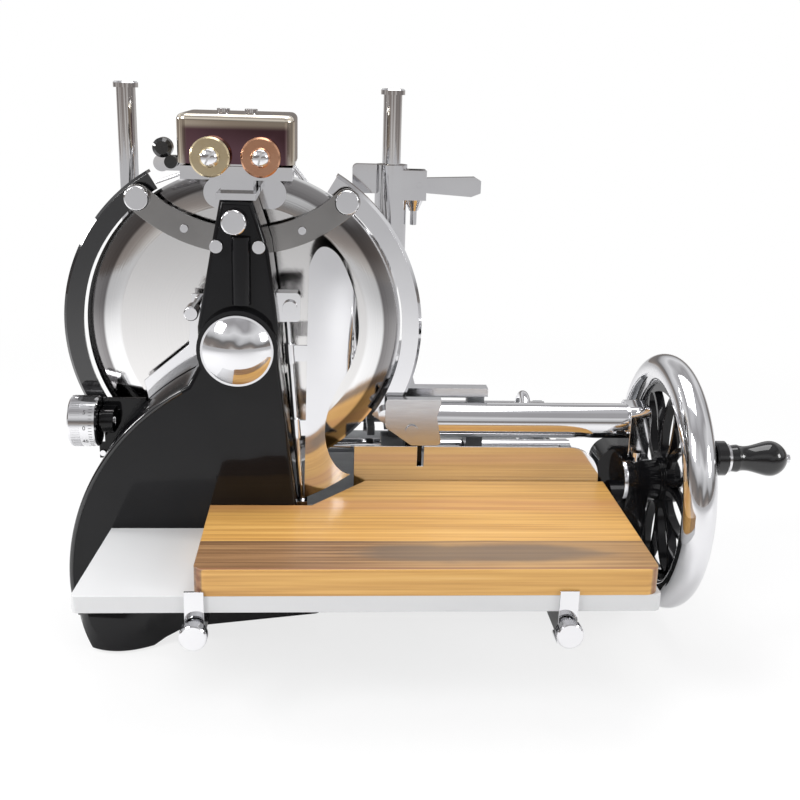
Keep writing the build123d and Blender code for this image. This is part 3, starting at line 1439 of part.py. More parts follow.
# ---------------------------------------------------------------- meat clamp on the two posts
bar_front_y = post_y - 12
bar_back_y = post_y + 12
post_bore = post_radius + running_gap
with BuildPart() as clamp_bar:
    block((post_left_x, bar_front_y, clamp_bar_bottom_z), (post_right_x, bar_back_y, clamp_bar_top_z))
    cylinder_z(clamp_collar_radius, clamp_bar_bottom_z, clamp_bar_top_z, post_left_x, post_y)
    cylinder_z(clamp_collar_radius, clamp_bar_bottom_z, clamp_top_z, post_right_x, post_y)
    block((post_right_x - 41, post_y - 6, clamp_top_z - 30), (post_right_x, post_y + 6, clamp_top_z))
    block((post_right_x, post_y - 13, clamp_top_z - 36), (post_right_x + 37, post_y + 13, clamp_top_z - 5))
    fillet(clamp_bar.edges().filter_by(Axis.Y).sort_by(Axis.X)[:2], radius=5)
    with BuildSketch(Plane.XY.offset(clamp_top_z - 36)) as funnel_top:
        with Locations((post_right_x + 25, post_y)):
            Circle(10)
    with BuildSketch(Plane.XY.offset(clamp_top_z - 48)) as funnel_foot:
        with Locations((post_right_x + 25, post_y)):
            Circle(5)
    loft([funnel_foot.sketch, funnel_top.sketch])
    cylinder_z(3.5, clamp_top_z - 63, clamp_top_z - 48, post_right_x + 25, post_y)
    block(
        (post_left_x + 45, bar_front_y - 4, grip_plate_bottom_z),
        (post_right_x - 45, bar_front_y, clamp_bar_top_z),
    )
    with BuildSketch(front_plane(bar_front_y - 4)):
        with Locations(((post_left_x + post_right_x) / 2, (grip_plate_bottom_z + clamp_bar_top_z) / 2)):
            with GridLocations(22, 18, 8, 2):
                Circle(2.5)
    extrude(amount=8, taper=12)
    for x in (post_left_x, post_right_x):
        cylinder_z(post_bore, clamp_bar_bottom_z - 1, clamp_top_z + 1, x, post_y, Mode.SUBTRACT)
    block(
        (lever_pivot[0] - 10, post_y - 5, clamp_top_z - 37), (post_right_x + 38, post_y + 5, clamp_top_z), Mode.SUBTRACT
    )
    cylinder_y(lever_pin_radius + running_gap, post_y - 14, post_y + 14, *lever_pivot, Mode.SUBTRACT)
finish(clamp_bar, "clamp_bar")

with BuildPart() as clamp_lever:
    with BuildSketch(front_plane(post_y + 4.5)):
        with Locations(lever_pivot):
            Circle(6)
        with BuildLine():
            Polyline(
                (lever_pivot[0], lever_pivot[1] - 6),
                (lever_pivot[0] + 10, lever_pivot[1] - 9),
                (lever_pivot[0] + 57, lever_pivot[1] - 12),
                (lever_pivot[0] + 67, lever_pivot[1] - 8),
                (lever_pivot[0] + 67, lever_pivot[1] + 5),
                (lever_pivot[0] + 60, lever_pivot[1] + 9),
                (lever_pivot[0] + 10, lever_pivot[1] + 7),
                (lever_pivot[0], lever_pivot[1] + 6),
                close=True,
            )
        make_face()
    extrude(amount=9)
    cylinder_y(lever_pin_radius, post_y - 13, post_y + 13, *lever_pivot)
finish(clamp_lever, "clamp_lever")

# ---------------------------------------------------------------- thickness dial and its bracket
dial_right_x = dial_left_x + dial_length
bracket_gap_x = dial_right_x + slip_gap
with BuildPart() as thickness_dial:
    cylinder_x(dial_radius, dial_left_x, dial_right_x, dial_y, dial_z)
    dial_rims = thickness_dial.edges().filter_by(GeomType.CIRCLE)
    chamfer(dial_rims, length=1.5)
    cylinder_x(dial_radius - 8, dial_left_x - 1, dial_left_x + 3, dial_y, dial_z, Mode.SUBTRACT)
    cylinder_x(dial_shaft_radius, dial_right_x - 1, dial_right_x + 16, dial_y, dial_z)
finish(thickness_dial, "thickness_dial")

with BuildPart() as dial_bracket:
    with BuildSketch(front_plane(dial_bracket_y)):
        with BuildLine():
            Polyline(
                (bracket_gap_x - 6, dial_z - 45),
                (bracket_gap_x + 15.6, dial_z - 45),
                (bracket_gap_x + 15.6, dial_z - 20),
                (bracket_gap_x + 43.6, dial_z - 20),
                (bracket_gap_x + 43.6, dial_z + 20),
                (bracket_gap_x, dial_z + 20),
                (bracket_gap_x, dial_z - 28),
                (bracket_gap_x - 6, dial_z - 28),
                close=True,
            )
        make_face()
    extrude(amount=back_plate_thickness)
    block((bracket_gap_x, dial_y, dial_z - 12), (bracket_gap_x + 14, dial_bracket_y, dial_z + 12))
    cylinder_x(12, bracket_gap_x, bracket_gap_x + 14, dial_y, dial_z)
    cylinder_x(dial_shaft_radius + running_gap, bracket_gap_x - 1, bracket_gap_x + 15, dial_y, dial_z, Mode.SUBTRACT)
finish(dial_bracket, "dial_bracket")

# ---------------------------------------------------------------- sharpener above the knife
spindle_places = (knife_x - spindle_spacing / 2, knife_x + spindle_spacing / 2)
spindle_bore = spindle_radius + running_gap
sharpener_plate_z = cover_bottom_z - 14
sharpener_top_z = cover_bottom_z - 2
with BuildPart() as sharpener_base:
    block(
        (column_left_x - 3, casting_front_y, column_top_z), (column_right_x + 3, base_front_y, column_top_z + 6)
    )
    block(
        (column_left_x, casting_front_y + 15, column_top_z + 5),
        (column_right_x, base_front_y - 10, sharpener_plate_z + 1),
    )
    block(
        (sharpener_left_x + 3, sharpener_front_y, sharpener_plate_z),
        (sharpener_right_x - 2, sharpener_front_y + 50, sharpener_top_z),
    )
    fillet(sharpener_base.edges().filter_by(Axis.Z).sort_by(Axis.Y)[:2], radius=1)
    block((knife_x - 25, sharpener_front_y + 49, sharpener_plate_z - 4), (knife_x + 25, -85, sharpener_top_z))
    with BuildSketch(front_plane(-78)):
        with Locations((knife_x + 3, sharpener_plate_z - 18)):
            SlotOverall(80, 30)
    extrude(amount=12.6)
    for front_y in (sharpener_front_y + 4, sharpener_front_y + 42):
        block(
            (spindle_places[0] - 12, front_y, sharpener_top_z - 1),
            (spindle_places[1] + 12, front_y + 8, spindle_z + 11),
        )
    for x, y in cover_screw_places:
        cylinder_z(4.5, sharpener_top_z - 1, cover_top_z - cover_wall, x, y)
        cylinder_z(2.5 + running_gap, cover_top_z - 14, cover_top_z, x, y, Mode.SUBTRACT)
    for x in spindle_places:
        cylinder_y(spindle_bore, sharpener_front_y - 1, sharpener_front_y + 60, x, spindle_z, Mode.SUBTRACT)
    block((-83, sharpener_front_y + 46, sharpener_top_z - 6), (-74, -56, sharpener_top_z))
    rod(3, (-78.5, -60, sharpener_top_z - 4), (-44, -60, sharpener_top_z - 48))
    block((lock_pivot[0] - 6, -114.6, sharpener_plate_z + 4), (-175, -106, sharpener_top_z))
    block(
        (lock_pivot[0] - 6, -114.6, sharpener_plate_z + 4),
        (sharpener_left_x - 0.5, -106, lock_pivot[1] + 5),
    )
    cylinder_y(lever_pin_radius + running_gap, -116, -105, *lock_pivot, Mode.SUBTRACT)
    rod(2, (-174, -101.5, sharpener_plate_z + 6), (-199, -95, sharpener_plate_z + 10))
    rod(1.5, (-174, -103, sharpener_plate_z + 3), (-206, -97, sharpener_plate_z - 9))
    cylinder_y(8, -103, -88, -199, sharpener_plate_z + 10)
finish(sharpener_base, "sharpener_base")

with BuildPart() as sharpener_cover:
    block(
        (sharpener_left_x, sharpener_front_y, cover_bottom_z), (sharpener_right_x, sharpener_back_y, cover_top_z)
    )
    fillet(sharpener_cover.edges().filter_by(Axis.Z), radius=10)
    fillet(sharpener_cover.faces().sort_by(Axis.Z)[-1].edges(), radius=6)
    offset(amount=-cover_wall, openings=sharpener_cover.faces().sort_by(Axis.Z)[0])
    for x in spindle_places:
        cylinder_y(spindle_radius + 1, sharpener_front_y - 1, sharpener_front_y + 5, x, spindle_z, Mode.SUBTRACT)
    for x, y in cover_screw_places:
        cylinder_z(2.5 + running_gap, cover_top_z - 5, cover_top_z + 1, x, y, Mode.SUBTRACT)
finish(sharpener_cover, "sharpener_cover")

for label, x, button_back_y, stone_front_y, stone_thickness in (
    ("grinding_stone", spindle_places[0], sharpener_front_y - 8, -84, 8),
    ("honing_stone", spindle_places[1], sharpener_front_y - 2, -60, 6),
):
    with BuildPart() as sharpening_stone:
        button_front_y = button_back_y - button_thickness
        cylinder_y(button_radius, button_front_y, button_back_y, x, spindle_z)
        chamfer(sharpening_stone.edges().filter_by(GeomType.CIRCLE), length=1.5)
        cylinder_y(9, button_front_y - 3, button_front_y, x, spindle_z)
        chamfer(sharpening_stone.edges().filter_by(GeomType.CIRCLE).sort_by(Axis.Y)[0], length=1.8)
        cylinder_y(spindle_radius, button_back_y, stone_front_y, x, spindle_z)
        cylinder_y(stone_radius, stone_front_y, stone_front_y + stone_thickness, x, spindle_z)
    finish(sharpening_stone, label)

with BuildPart() as lock_lever:
    knob_x, knob_y, knob_z = lock_knob_place
    cylinder_y(9, knob_y - 9, knob_y + 9, knob_x, knob_z)
    chamfer(lock_lever.edges().filter_by(GeomType.CIRCLE), length=3)
    cylinder_y(6, knob_y - 4, knob_y + 4, *lock_pivot)
    cylinder_y(lever_pin_radius, knob_y + 3, -106, *lock_pivot)
    rod(3, (lock_pivot[0], knob_y, lock_pivot[1]), lock_knob_place)
finish(lock_lever, "lock_lever")

# ---------------------------------------------------------------- deflector and scraper
rod_lean = [(top - foot) / (deflector_rod_top[2] - deflector_rod_foot[2])
            for top, foot in zip(deflector_rod_top, deflector_rod_foot)]


def rod_point(z):
    """The point of the deflector rod's axis at this height."""
    rise = z - deflector_rod_foot[2]
    return tuple(foot + lean * rise for foot, lean in zip(deflector_rod_foot, rod_lean))


with BuildPart() as deflector_rod:
    rod(deflector_rod_radius, rod_point(146), rod_point(latch_bottom_z + 4))
    block((-90, -140, latch_bottom_z), (-67, -122, latch_top_z))
    fillet(deflector_rod.edges().filter_by(Axis.Y).sort_by(Axis.X)[-2:], radius=4)
    cylinder_y(7, -146, -140, -77, (latch_bottom_z + latch_top_z) / 2)
    block((-71, -134, 138), (-60, -122, 148))
    add(front_casting.part, mode=Mode.SUBTRACT)
finish(deflector_rod, "deflector_rod")

with BuildPart() as deflector:
    with BuildSketch(front_plane(-90)):
        with BuildLine():
            Polyline((-16.5, 169), (-63, 151), (-60, 337), (-59, 380))
            Spline((-59, 380), (-55, 398), (-46, 407), (-36, 403), (-24.5, 386), (-14.5, 358), (-10.5, 335))
            Spline(
                (-10.5, 335), (-10, 312), (-16, 288.5), (-28, 267.5), (-39.6, 241), (-42.5, 220), (-37, 193),
                (-27, 177), (-16.5, 169),
            )
        make_face()
    extrude(amount=60)
    with BuildSketch(Plane.XY.offset(140)) as curved_band:
        with BuildLine():
            ThreePointArc((-80, -132), (-45, -128), (-8, -104))
            offset(amount=deflector_thickness, side=Side.LEFT)
        make_face()
    extrude(curved_band.sketch, amount=280, mode=Mode.INTERSECT)
    for low_z in (215, 292):
        x, y, _ = rod_point(low_z + 10)
        rod(deflector_sleeve_radius, rod_point(low_z), rod_point(low_z + 20))
        block((x, y - 1.5, low_z + 2), (-56, y + 1.5, low_z + 18))
        rod(deflector_rod_radius + running_gap, rod_point(low_z - 2), rod_point(low_z + 22), Mode.SUBTRACT)
finish(deflector, "deflector")

with BuildPart() as scraper:
    with BuildSketch(front_plane(back_plate_y + 2.5)):
        with BuildLine():
            Polyline(
                (-176, 352), (-163, 352), (-163, 300), (-168, 279), (-222, 242), (-226, 262), (-180, 300), close=True
            )
        make_face()
    extrude(amount=2.5)
    cylinder_y(4, -132, back_plate_y, -169.5, 345)
    cylinder_y(7, -152, -131, -169.5, 345)
    chamfer(scraper.faces().sort_by(Axis.Y)[0].edges(), length=1)
finish(scraper, "scraper")

# ---------------------------------------------------------------- screws, hub ring and oiler
with BuildPart() as small_screws:
    for x, z in yoke_screw_places:
        cylinder_y(6, casting_front_y - 5, casting_front_y, x, z)
        cylinder_y(screw_radius, casting_front_y, yoke_back_y, x, z)
    for angle in (-23, 23):
        x, z = yoke_point(angle)
        cylinder_y(4, yoke_front_y - 2.5, yoke_front_y, x, z)
    for x, y in cover_screw_places:
        cylinder_z(2.5, cover_top_z - 12, cover_top_z, x, y)
        cylinder_z(6, cover_top_z, cover_top_z + 4, x, y)
    cylinder_y(3.2, back_plate_y - 2.5, back_plate_y, bracket_gap_x - 2.2, dial_z - 39)
    cylinder_x(hub_housing_radius + 1.5, hub_left_x - 4, hub_left_x, flywheel_y, flywheel_z)
    oiler_x = hub_left_x + 12
    oiler_z = flywheel_z + hub_housing_radius
    cylinder_z(3.5, oiler_z - 1, oiler_z + 5, oiler_x, flywheel_y)
    cylinder_z(5, oiler_z + 5, oiler_z + 10, oiler_x, flywheel_y)
    cylinder_x(wheel_bush_radius, hub_left_x - 1, hub_left_x + 1.2, flywheel_y, flywheel_z)
    add(right_arm.part, mode=Mode.SUBTRACT)
finish(small_screws, "small_screws")
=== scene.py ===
"""The looks of a hand crank meat slicer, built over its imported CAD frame. Lengths are in metres."""
import math

import bmesh
import bpy
from mathutils import Matrix, Vector


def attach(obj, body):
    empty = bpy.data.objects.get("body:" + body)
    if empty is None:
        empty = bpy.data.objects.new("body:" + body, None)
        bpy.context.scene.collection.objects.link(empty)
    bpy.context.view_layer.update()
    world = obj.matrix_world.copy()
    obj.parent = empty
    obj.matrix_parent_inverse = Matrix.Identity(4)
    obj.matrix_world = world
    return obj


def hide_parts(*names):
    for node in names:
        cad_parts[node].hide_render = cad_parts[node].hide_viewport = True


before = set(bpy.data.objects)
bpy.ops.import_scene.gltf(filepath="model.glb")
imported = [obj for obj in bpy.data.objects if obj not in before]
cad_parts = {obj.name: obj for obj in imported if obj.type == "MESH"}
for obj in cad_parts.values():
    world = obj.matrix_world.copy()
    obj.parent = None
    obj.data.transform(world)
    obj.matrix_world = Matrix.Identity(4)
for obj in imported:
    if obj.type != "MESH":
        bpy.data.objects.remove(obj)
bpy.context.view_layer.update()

# ---------------------------------------------------------------- studio
# A pale sweep of floor with soft boxes over it, and one camera at standing height in front of the boards.
# The sky behind the lamps is a striped room, so that plated metal has something light and dark to show.
CAMERA_PLACE = (-0.0403, -1.1516, 0.5676)
CAMERA_PITCH = math.radians(16.95)
CAMERA_YAW = math.radians(4.05)
CAMERA_ROLL = math.radians(1.7)
CAMERA_LENS = 48.24

forward = Vector((
    math.sin(CAMERA_YAW) * math.cos(CAMERA_PITCH),
    math.cos(CAMERA_YAW) * math.cos(CAMERA_PITCH),
    -math.sin(CAMERA_PITCH),
))
level = Vector((math.cos(CAMERA_YAW), -math.sin(CAMERA_YAW), 0))
upright = level.cross(forward)
across = level * math.cos(CAMERA_ROLL) + upright * math.sin(CAMERA_ROLL)
upward = upright * math.cos(CAMERA_ROLL) - level * math.sin(CAMERA_ROLL)

lens = bpy.data.cameras.new("studio_camera")
lens.sensor_width = 36
lens.lens = CAMERA_LENS
camera = bpy.data.objects.new("studio_camera", lens)
bpy.context.collection.objects.link(camera)
camera_turn = Matrix((across, upward, -forward)).transposed()
camera.matrix_world = Matrix.Translation(CAMERA_PLACE) @ camera_turn.to_4x4()
bpy.context.scene.camera = camera
bpy.context.scene.view_settings.view_transform = "Standard"

for name, place, aim, size, power in (
    ("key_box", (-1.1, -0.9, 1.3), (0, 0, 0.25), 0.55, 17),
    ("fill_box", (1.5, -1.0, 0.9), (0.1, 0, 0.2), 0.5, 9),
    ("top_box", (0.1, 0.2, 1.7), (0, 0, 0.2), 1.1, 15),
    ("left_strip", (-1.3, 0.1, 0.75), (-0.1, 0, 0.3), 0.22, 4),
):
    light = bpy.data.lights.new(name, "AREA")
    light.shape = "SQUARE"
    light.size = size
    light.energy = power
    lamp = bpy.data.objects.new(name, light)
    bpy.context.collection.objects.link(lamp)
    lamp.location = place
    lamp.rotation_euler = (Vector(aim) - Vector(place)).to_track_quat("-Z", "Y").to_euler()


class Line:
    """A socket in a node tree. Sums on it add Math nodes, and make() adds any other node."""

    def __init__(self, tree, socket=None):
        self.tree = tree
        self.socket = socket

    def make(self, kind, settings=None, sockets=None, out=0):
        node = self.tree.nodes.new(kind)
        for name, value in (settings or {}).items():
            if name == "stops":
                ramp = node.color_ramp
                while len(ramp.elements) < len(value):
                    ramp.elements.new(0.5)
                for element, (place, colour) in zip(ramp.elements, value):
                    element.position = place
                    element.color = (*colour, 1)
            else:
                setattr(node, name, value)
        for name, value in (sockets or {}).items():
            if isinstance(value, Line):
                self.tree.links.new(value.socket, node.inputs[name])
            else:
                node.inputs[name].default_value = value
        return Line(self.tree, node.outputs[out] if node.outputs else None)

    def sum(self, operation, first, second):
        return self.make("ShaderNodeMath", {"operation": operation}, {0: first, 1: second})

    def __add__(self, other):
        return self.sum("ADD", self, other)

    __radd__ = __add__

    def __mul__(self, other):
        return self.sum("MULTIPLY", self, other)

    __rmul__ = __mul__

    def __sub__(self, other):
        return self.sum("SUBTRACT", self, other)

    def __rsub__(self, other):
        return self.sum("SUBTRACT", other, self)

    def __truediv__(self, other):
        return self.sum("DIVIDE", self, other)


def mixed(share, first, second):
    """A colour between two, by a mask's share."""
    return share.make(
        "ShaderNodeMix", {"data_type": "RGBA"}, {"Factor": share, 6: first, 7: second}, out=2
    )


sky = bpy.data.worlds.new("studio_sky")
bpy.context.scene.world = sky
sky.use_nodes = True
sky.node_tree.nodes.clear()
sky_line = Line(sky.node_tree)
towards = sky_line.make("ShaderNodeTexCoord")
height = sky_line.make("ShaderNodeSeparateXYZ", None, {0: towards}, out=2)
PANEL_STRENGTH = 0.35
panels = sky_line.make("ShaderNodeTexNoise", None, {"Vector": towards, "Scale": 1.7, "Detail": 1.0})
room = sky_line.make(
    "ShaderNodeValToRGB",
    {"stops": [
        (0.0, (0.46, 0.43, 0.4)), (0.42, (0.66, 0.63, 0.6)), (0.48, (0.16, 0.115, 0.09)),
        (0.57, (0.05, 0.04, 0.036)), (0.63, (0.5, 0.5, 0.51)), (0.76, (0.95, 0.95, 0.96)),
        (0.88, (0.32, 0.31, 0.32)), (1.0, (0.7, 0.7, 0.72)),
    ]},
    {0: height * 0.5 + 0.5 + (panels - 0.5) * PANEL_STRENGTH},
)
seen = sky_line.make("ShaderNodeLightPath")
clear = sky_line.make("ShaderNodeLightPath", out=6)
glossy = sky_line.make("ShaderNodeLightPath", out=3)
backdrop = sky_line.make("ShaderNodeBackground", None, {0: (1, 1, 1, 1), 1: 1.0})
surround = sky_line.make("ShaderNodeBackground", None, {0: room, 1: 0.9})
sky_mix = sky_line.make(
    "ShaderNodeMixShader", None, {0: seen + clear + glossy * 0.15, 1: surround, 2: backdrop}
)
sky_line.make("ShaderNodeOutputWorld", None, {0: sky_mix})

FLOOR_REACH = 6.0
floor_mesh = bpy.data.meshes.new("studio_floor")
floor_corners = [(x * FLOOR_REACH, y * FLOOR_REACH, 0) for x, y in ((-1, -1), (1, -1), (1, 1), (-1, 1))]
floor_mesh.from_pydata(floor_corners, [], [(0, 1, 2, 3)])
floor = bpy.data.objects.new("studio_floor", floor_mesh)
bpy.context.collection.objects.link(floor)
floor_paint = bpy.data.materials.new("studio_floor")
floor_paint.use_nodes = True
floor_paint.node_tree.nodes.clear()
floor_line = Line(floor_paint.node_tree)
matt = floor_line.make("ShaderNodeBsdfDiffuse", None, {0: (0.9, 0.9, 0.9, 1)})
glow = floor_line.make("ShaderNodeEmission", None, {0: (1, 1, 1, 1), 1: 1.0})
floor_seen = floor_line.make("ShaderNodeLightPath")
floor_glossy = floor_line.make("ShaderNodeLightPath", out=3)
floor_place = floor_line.make("ShaderNodeTexCoord", out=3)
floor_far = floor_line.make("ShaderNodeVectorMath", {"operation": "LENGTH"}, {0: floor_place}, out=1)
far_share = floor_line.make(
    "ShaderNodeMapRange", {"interpolation_type": "SMOOTHSTEP"},
    {0: floor_far, 1: 0.45, 2: 1.5, 3: 0.78, 4: 1.0},
)
floor_mix = floor_line.make(
    "ShaderNodeMixShader", None, {0: floor_seen * far_share + floor_glossy * 0.2, 1: matt, 2: glow}
)
floor_line.make("ShaderNodeOutputMaterial", None, {0: floor_mix})
floor_mesh.materials.append(floor_paint)

# ---------------------------------------------------------------- base, deck and feet
# The base is a deep box of cast iron, filled, rubbed down and finished in black gloss enamel. A machined grey
# plate is screwed on it for the slide rails, and rubber feet are pressed into its underside.
ENAMEL_BLACK = (0.003, 0.003, 0.0036, 1)


def surface(name, colour, roughness, metallic=0.0, coat=0.0, bump=None, bump_strength=0.1, **fixed):
    """A finished material: colour, roughness and bump may each be a line or a plain value."""
    material = bpy.data.materials.new(name)
    material.use_nodes = True
    material.node_tree.nodes.clear()
    line = Line(material.node_tree)
    sockets = {"Metallic": metallic, "Coat Weight": coat}
    sockets["Base Color"] = colour(line) if callable(colour) else colour
    sockets["Roughness"] = roughness(line) if callable(roughness) else roughness
    for key, value in fixed.items():
        sockets[key if key.isupper() else key.replace("_", " ").title()] = value
    if bump:
        sockets["Normal"] = line.make(
            "ShaderNodeBump", None, {"Strength": bump_strength, "Distance": 0.001, "Height": bump(line)}
        )
    shader = line.make("ShaderNodeBsdfPrincipled", None, sockets)
    line.make("ShaderNodeOutputMaterial", None, {0: shader})
    return material


def place_of(line):
    """Where a point lies in the machine's frame."""
    return line.make("ShaderNodeTexCoord", out=3)


def cloud(line, scale, detail=3.0, stretch=(1, 1, 1)):
    """Soft noise over the piece, from 0 to 1."""
    spread = line.make("ShaderNodeMapping", None, {0: place_of(line), 3: stretch})
    return line.make("ShaderNodeTexNoise", None, {"Vector": spread, "Scale": scale, "Detail": detail})


def ramp(line, value, stops):
    """Colours along a value."""
    return line.make("ShaderNodeValToRGB", {"stops": stops}, {0: value})


black_enamel = surface(
    "black_enamel",
    lambda line: mixed(cloud(line, 30), ENAMEL_BLACK, (0.007, 0.007, 0.008, 1)),
    lambda line: cloud(line, 55, 5) * 0.1 + 0.06,
    coat=0.22,
    bump=lambda line: cloud(line, 140, 2) * 0.5,
    bump_strength=0.04,
    coat_roughness=0.03,
    IOR=1.24,
)


def refined(node, body, material, angle=32, bevel=0.0, segments=2):
    """The visible skin of a CAD piece: welded, rounded between hard edges, with a fine edge break."""
    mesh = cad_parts[node].data.copy()
    mesh.name = "skin_" + node
    welded = bmesh.new()
    welded.from_mesh(mesh)
    bmesh.ops.remove_doubles(welded, verts=welded.verts, dist=2e-6)
    if bevel:
        bmesh.ops.dissolve_limit(
            welded, angle_limit=math.radians(0.5), verts=welded.verts, edges=welded.edges, delimit={"NORMAL"}
        )
    welded.to_mesh(mesh)
    welded.free()
    for name in ("custom_normal", "sharp_edge", "sharp_face"):
        if name in mesh.attributes:
            mesh.attributes.remove(mesh.attributes[name])
    mesh.shade_smooth()
    mesh.set_sharp_from_angle(angle=math.radians(angle))
    mesh.materials.clear()
    mesh.materials.append(material)
    piece = bpy.data.objects.new("skin_" + node, mesh)
    bpy.context.collection.objects.link(piece)
    if bevel:
        edge_break = piece.modifiers.new("edge_break", "BEVEL")
        edge_break.width = bevel
        edge_break.segments = segments
        edge_break.limit_method = "ANGLE"
        edge_break.angle_limit = math.radians(angle)
        edge_break.harden_normals = True
    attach(piece, body)
    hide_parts(node)
    return piece


def dress(node, material):
    """Gives a CAD piece that stays as it is its finish."""
    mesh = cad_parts[node].data
    mesh.materials.clear()
    mesh.materials.append(material)


refined("base_casting", "frame", black_enamel, bevel=0.0006)

grey_casting = surface(
    "grey_casting",
    lambda line: mixed(cloud(line, 40), (0.22, 0.23, 0.24, 1), (0.34, 0.35, 0.36, 1)),
    lambda line: cloud(line, 90, 4) * 0.25 + 0.3,
    metallic=0.6,
    bump=lambda line: cloud(line, 400, 3),
    bump_strength=0.15,
)
refined("base_deck", "frame", grey_casting, bevel=0.0004)
rubber = surface(
    "foot_rubber",
    (0.02, 0.02, 0.021, 1),
    lambda line: cloud(line, 120, 3) * 0.2 + 0.6,
    bump=lambda line: cloud(line, 500, 2),
    bump_strength=0.2,
)
dress("rubber_feet", rubber)

# ---------------------------------------------------------------- front casting and its arms
# One hollow iron casting carries the knife's bearing, with a half-round rib up the column and a rolled edge
# on its apron. The arm for the flywheel, its gear case, the tube's carrier and the dial's bracket are
# bolted on, and all of it is enamelled.
refined("front_casting", "frame", black_enamel, angle=40)
for node in ("column_back_plate", "right_arm", "gear_case_cover", "tube_carrier", "dial_bracket"):
    refined(node, "frame", black_enamel, bevel=0.0006)
gloss_enamel = surface(
    "gloss_enamel",
    lambda line: mixed(cloud(line, 30), ENAMEL_BLACK, (0.007, 0.007, 0.008, 1)),
    lambda line: cloud(line, 55, 5) * 0.06 + 0.03,
    coat=1.0,
    coat_roughness=0.02,
    IOR=1.45,
)


def placed(piece, body):
    """A finished mesh object, frozen from its curve or modifiers, riding on a body."""
    bpy.context.view_layer.update()
    mesh = bpy.data.meshes.new_from_object(piece.evaluated_get(bpy.context.evaluated_depsgraph_get()))
    mesh.name = piece.name
    mesh.transform(piece.matrix_world)
    for polygon in mesh.polygons:
        polygon.use_smooth = True
    mesh.set_sharp_from_angle(angle=math.radians(38))
    frozen = bpy.data.objects.new(piece.name + "_form", mesh)
    bpy.context.collection.objects.link(frozen)
    bpy.data.objects.remove(piece)
    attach(frozen, body)
    return frozen


def bead(name, points, radius, material, body):
    """A round rod through a list of points."""
    path = bpy.data.curves.new(name, "CURVE")
    path.dimensions = "3D"
    path.bevel_depth = radius
    path.bevel_resolution = 4
    path.use_fill_caps = True
    run = path.splines.new("POLY")
    run.points.add(len(points) - 1)
    for knot, point in zip(run.points, points):
        knot.co = (*point, 1)
    path.materials.append(material)
    piece = bpy.data.objects.new(name, path)
    bpy.context.collection.objects.link(piece)
    return placed(piece, body)


def around(centre_x, centre_z, radius, start, end, y, steps=40):
    """Points of an arc in the front view, by angles in degrees from +X towards +Z."""
    angles = [math.radians(start + (end - start) * step / steps) for step in range(steps + 1)]
    return [(centre_x + radius * math.cos(angle), y, centre_z + radius * math.sin(angle)) for angle in angles]


BEAD_RADIUS = 0.0026
BEAD_Y = -0.1585
APRON_CENTRE = (-0.065, 0.0727)
APRON_RADIUS = 0.2313
PROW_CENTRE = (-0.1716, 0.0727)
PROW_RADIUS = 0.1247
bead_path = around(*APRON_CENTRE, APRON_RADIUS - BEAD_RADIUS, 120, 180, BEAD_Y)
bead_path += around(*PROW_CENTRE, PROW_RADIUS - BEAD_RADIUS, 180, 198, BEAD_Y, 12)[1:]
bead("apron_bead", bead_path, BEAD_RADIUS, gloss_enamel, "frame")

# ---------------------------------------------------------------- drive train
# Machined steel shafts and gears turn in bronze bushes pressed into the castings, and a roller chain climbs
# the column to the knife. All of it is oiled and bare.
brushed = surface(
    "brushed_steel",
    lambda line: mixed(cloud(line, 60, 3, (1, 1, 12)), (0.62, 0.62, 0.63, 1), (0.48, 0.48, 0.5, 1)),
    lambda line: cloud(line, 80, 4, (1, 1, 14)) * 0.16 + 0.14,
    metallic=1.0,
)
dress("drive_chain", brushed)
for node in ("flywheel_shaft", "drive_shaft", "cross_shaft", "idler_gear", "drive_gear", "bevel_wheel"):
    dress(node, brushed)
bronze = surface(
    "bronze",
    lambda line: mixed(cloud(line, 70), (0.55, 0.36, 0.15, 1), (0.4, 0.25, 0.1, 1)),
    0.3,
    metallic=1.0,
)
dress("bronze_bushes", bronze)

# ---------------------------------------------------------------- knife, cover plate and cap
# The knife is a forged disc, ground hollow and mirror polished. The flat cover plate in front of it keeps
# slices off the hub, and a chromed cap is screwed over the end of its shaft.
KNIFE_PLACE = (-0.125, 0.0, 0.315)
KNIFE_RADIUS = 0.16


def ring_of(line):
    """The distance from the knife's axis."""
    spot = line.make(
        "ShaderNodeVectorMath", {"operation": "SUBTRACT"}, {0: place_of(line), 1: KNIFE_PLACE}
    )
    flat = line.make("ShaderNodeVectorMath", {"operation": "MULTIPLY"}, {0: spot, 1: (1, 0, 1)})
    return line.make("ShaderNodeVectorMath", {"operation": "LENGTH"}, {0: flat}, out=1)


def ground_rings(line):
    """Fine grinding rings about the knife's axis."""
    return line.make(
        "ShaderNodeTexNoise", {"noise_dimensions": "1D"}, {"W": ring_of(line), "Scale": 900, "Detail": 4}
    )


# Painted reflections across the knife's face, from the hub outward: a painted bright ring, a painted dark
# band where the bevel is, and a painted glint at the cutting edge.
KNIFE_PAINTED_REFLECTIONS = [
    (0.0, (0.78, 0.77, 0.76)), (0.775, (0.78, 0.77, 0.76)), (0.79, (0.9, 0.9, 0.9)), (0.88, (0.8, 0.8, 0.8)),
    (0.895, (0.16, 0.15, 0.15)), (0.975, (0.3, 0.29, 0.29)), (0.988, (0.95, 0.95, 0.95)),
]
knife_steel = surface(
    "knife_steel",
    lambda line: mixed(
        ground_rings(line) * 0.25, ramp(line, ring_of(line) / KNIFE_RADIUS, KNIFE_PAINTED_REFLECTIONS), (0.5, 0.5, 0.51, 1)
    ),
    lambda line: ground_rings(line) * 0.06 + 0.05,
    metallic=1.0,
    bump=ground_rings,
    bump_strength=0.03,
)
refined("knife", "blade", knife_steel, angle=12)
refined("knife_shaft", "blade", knife_steel)
refined("knife_cover_plate", "frame", knife_steel)


def smears(line):
    """Faint smears from handling, for the roughness of polished metal."""
    return cloud(line, 22, 4) * 0.07 + 0.03


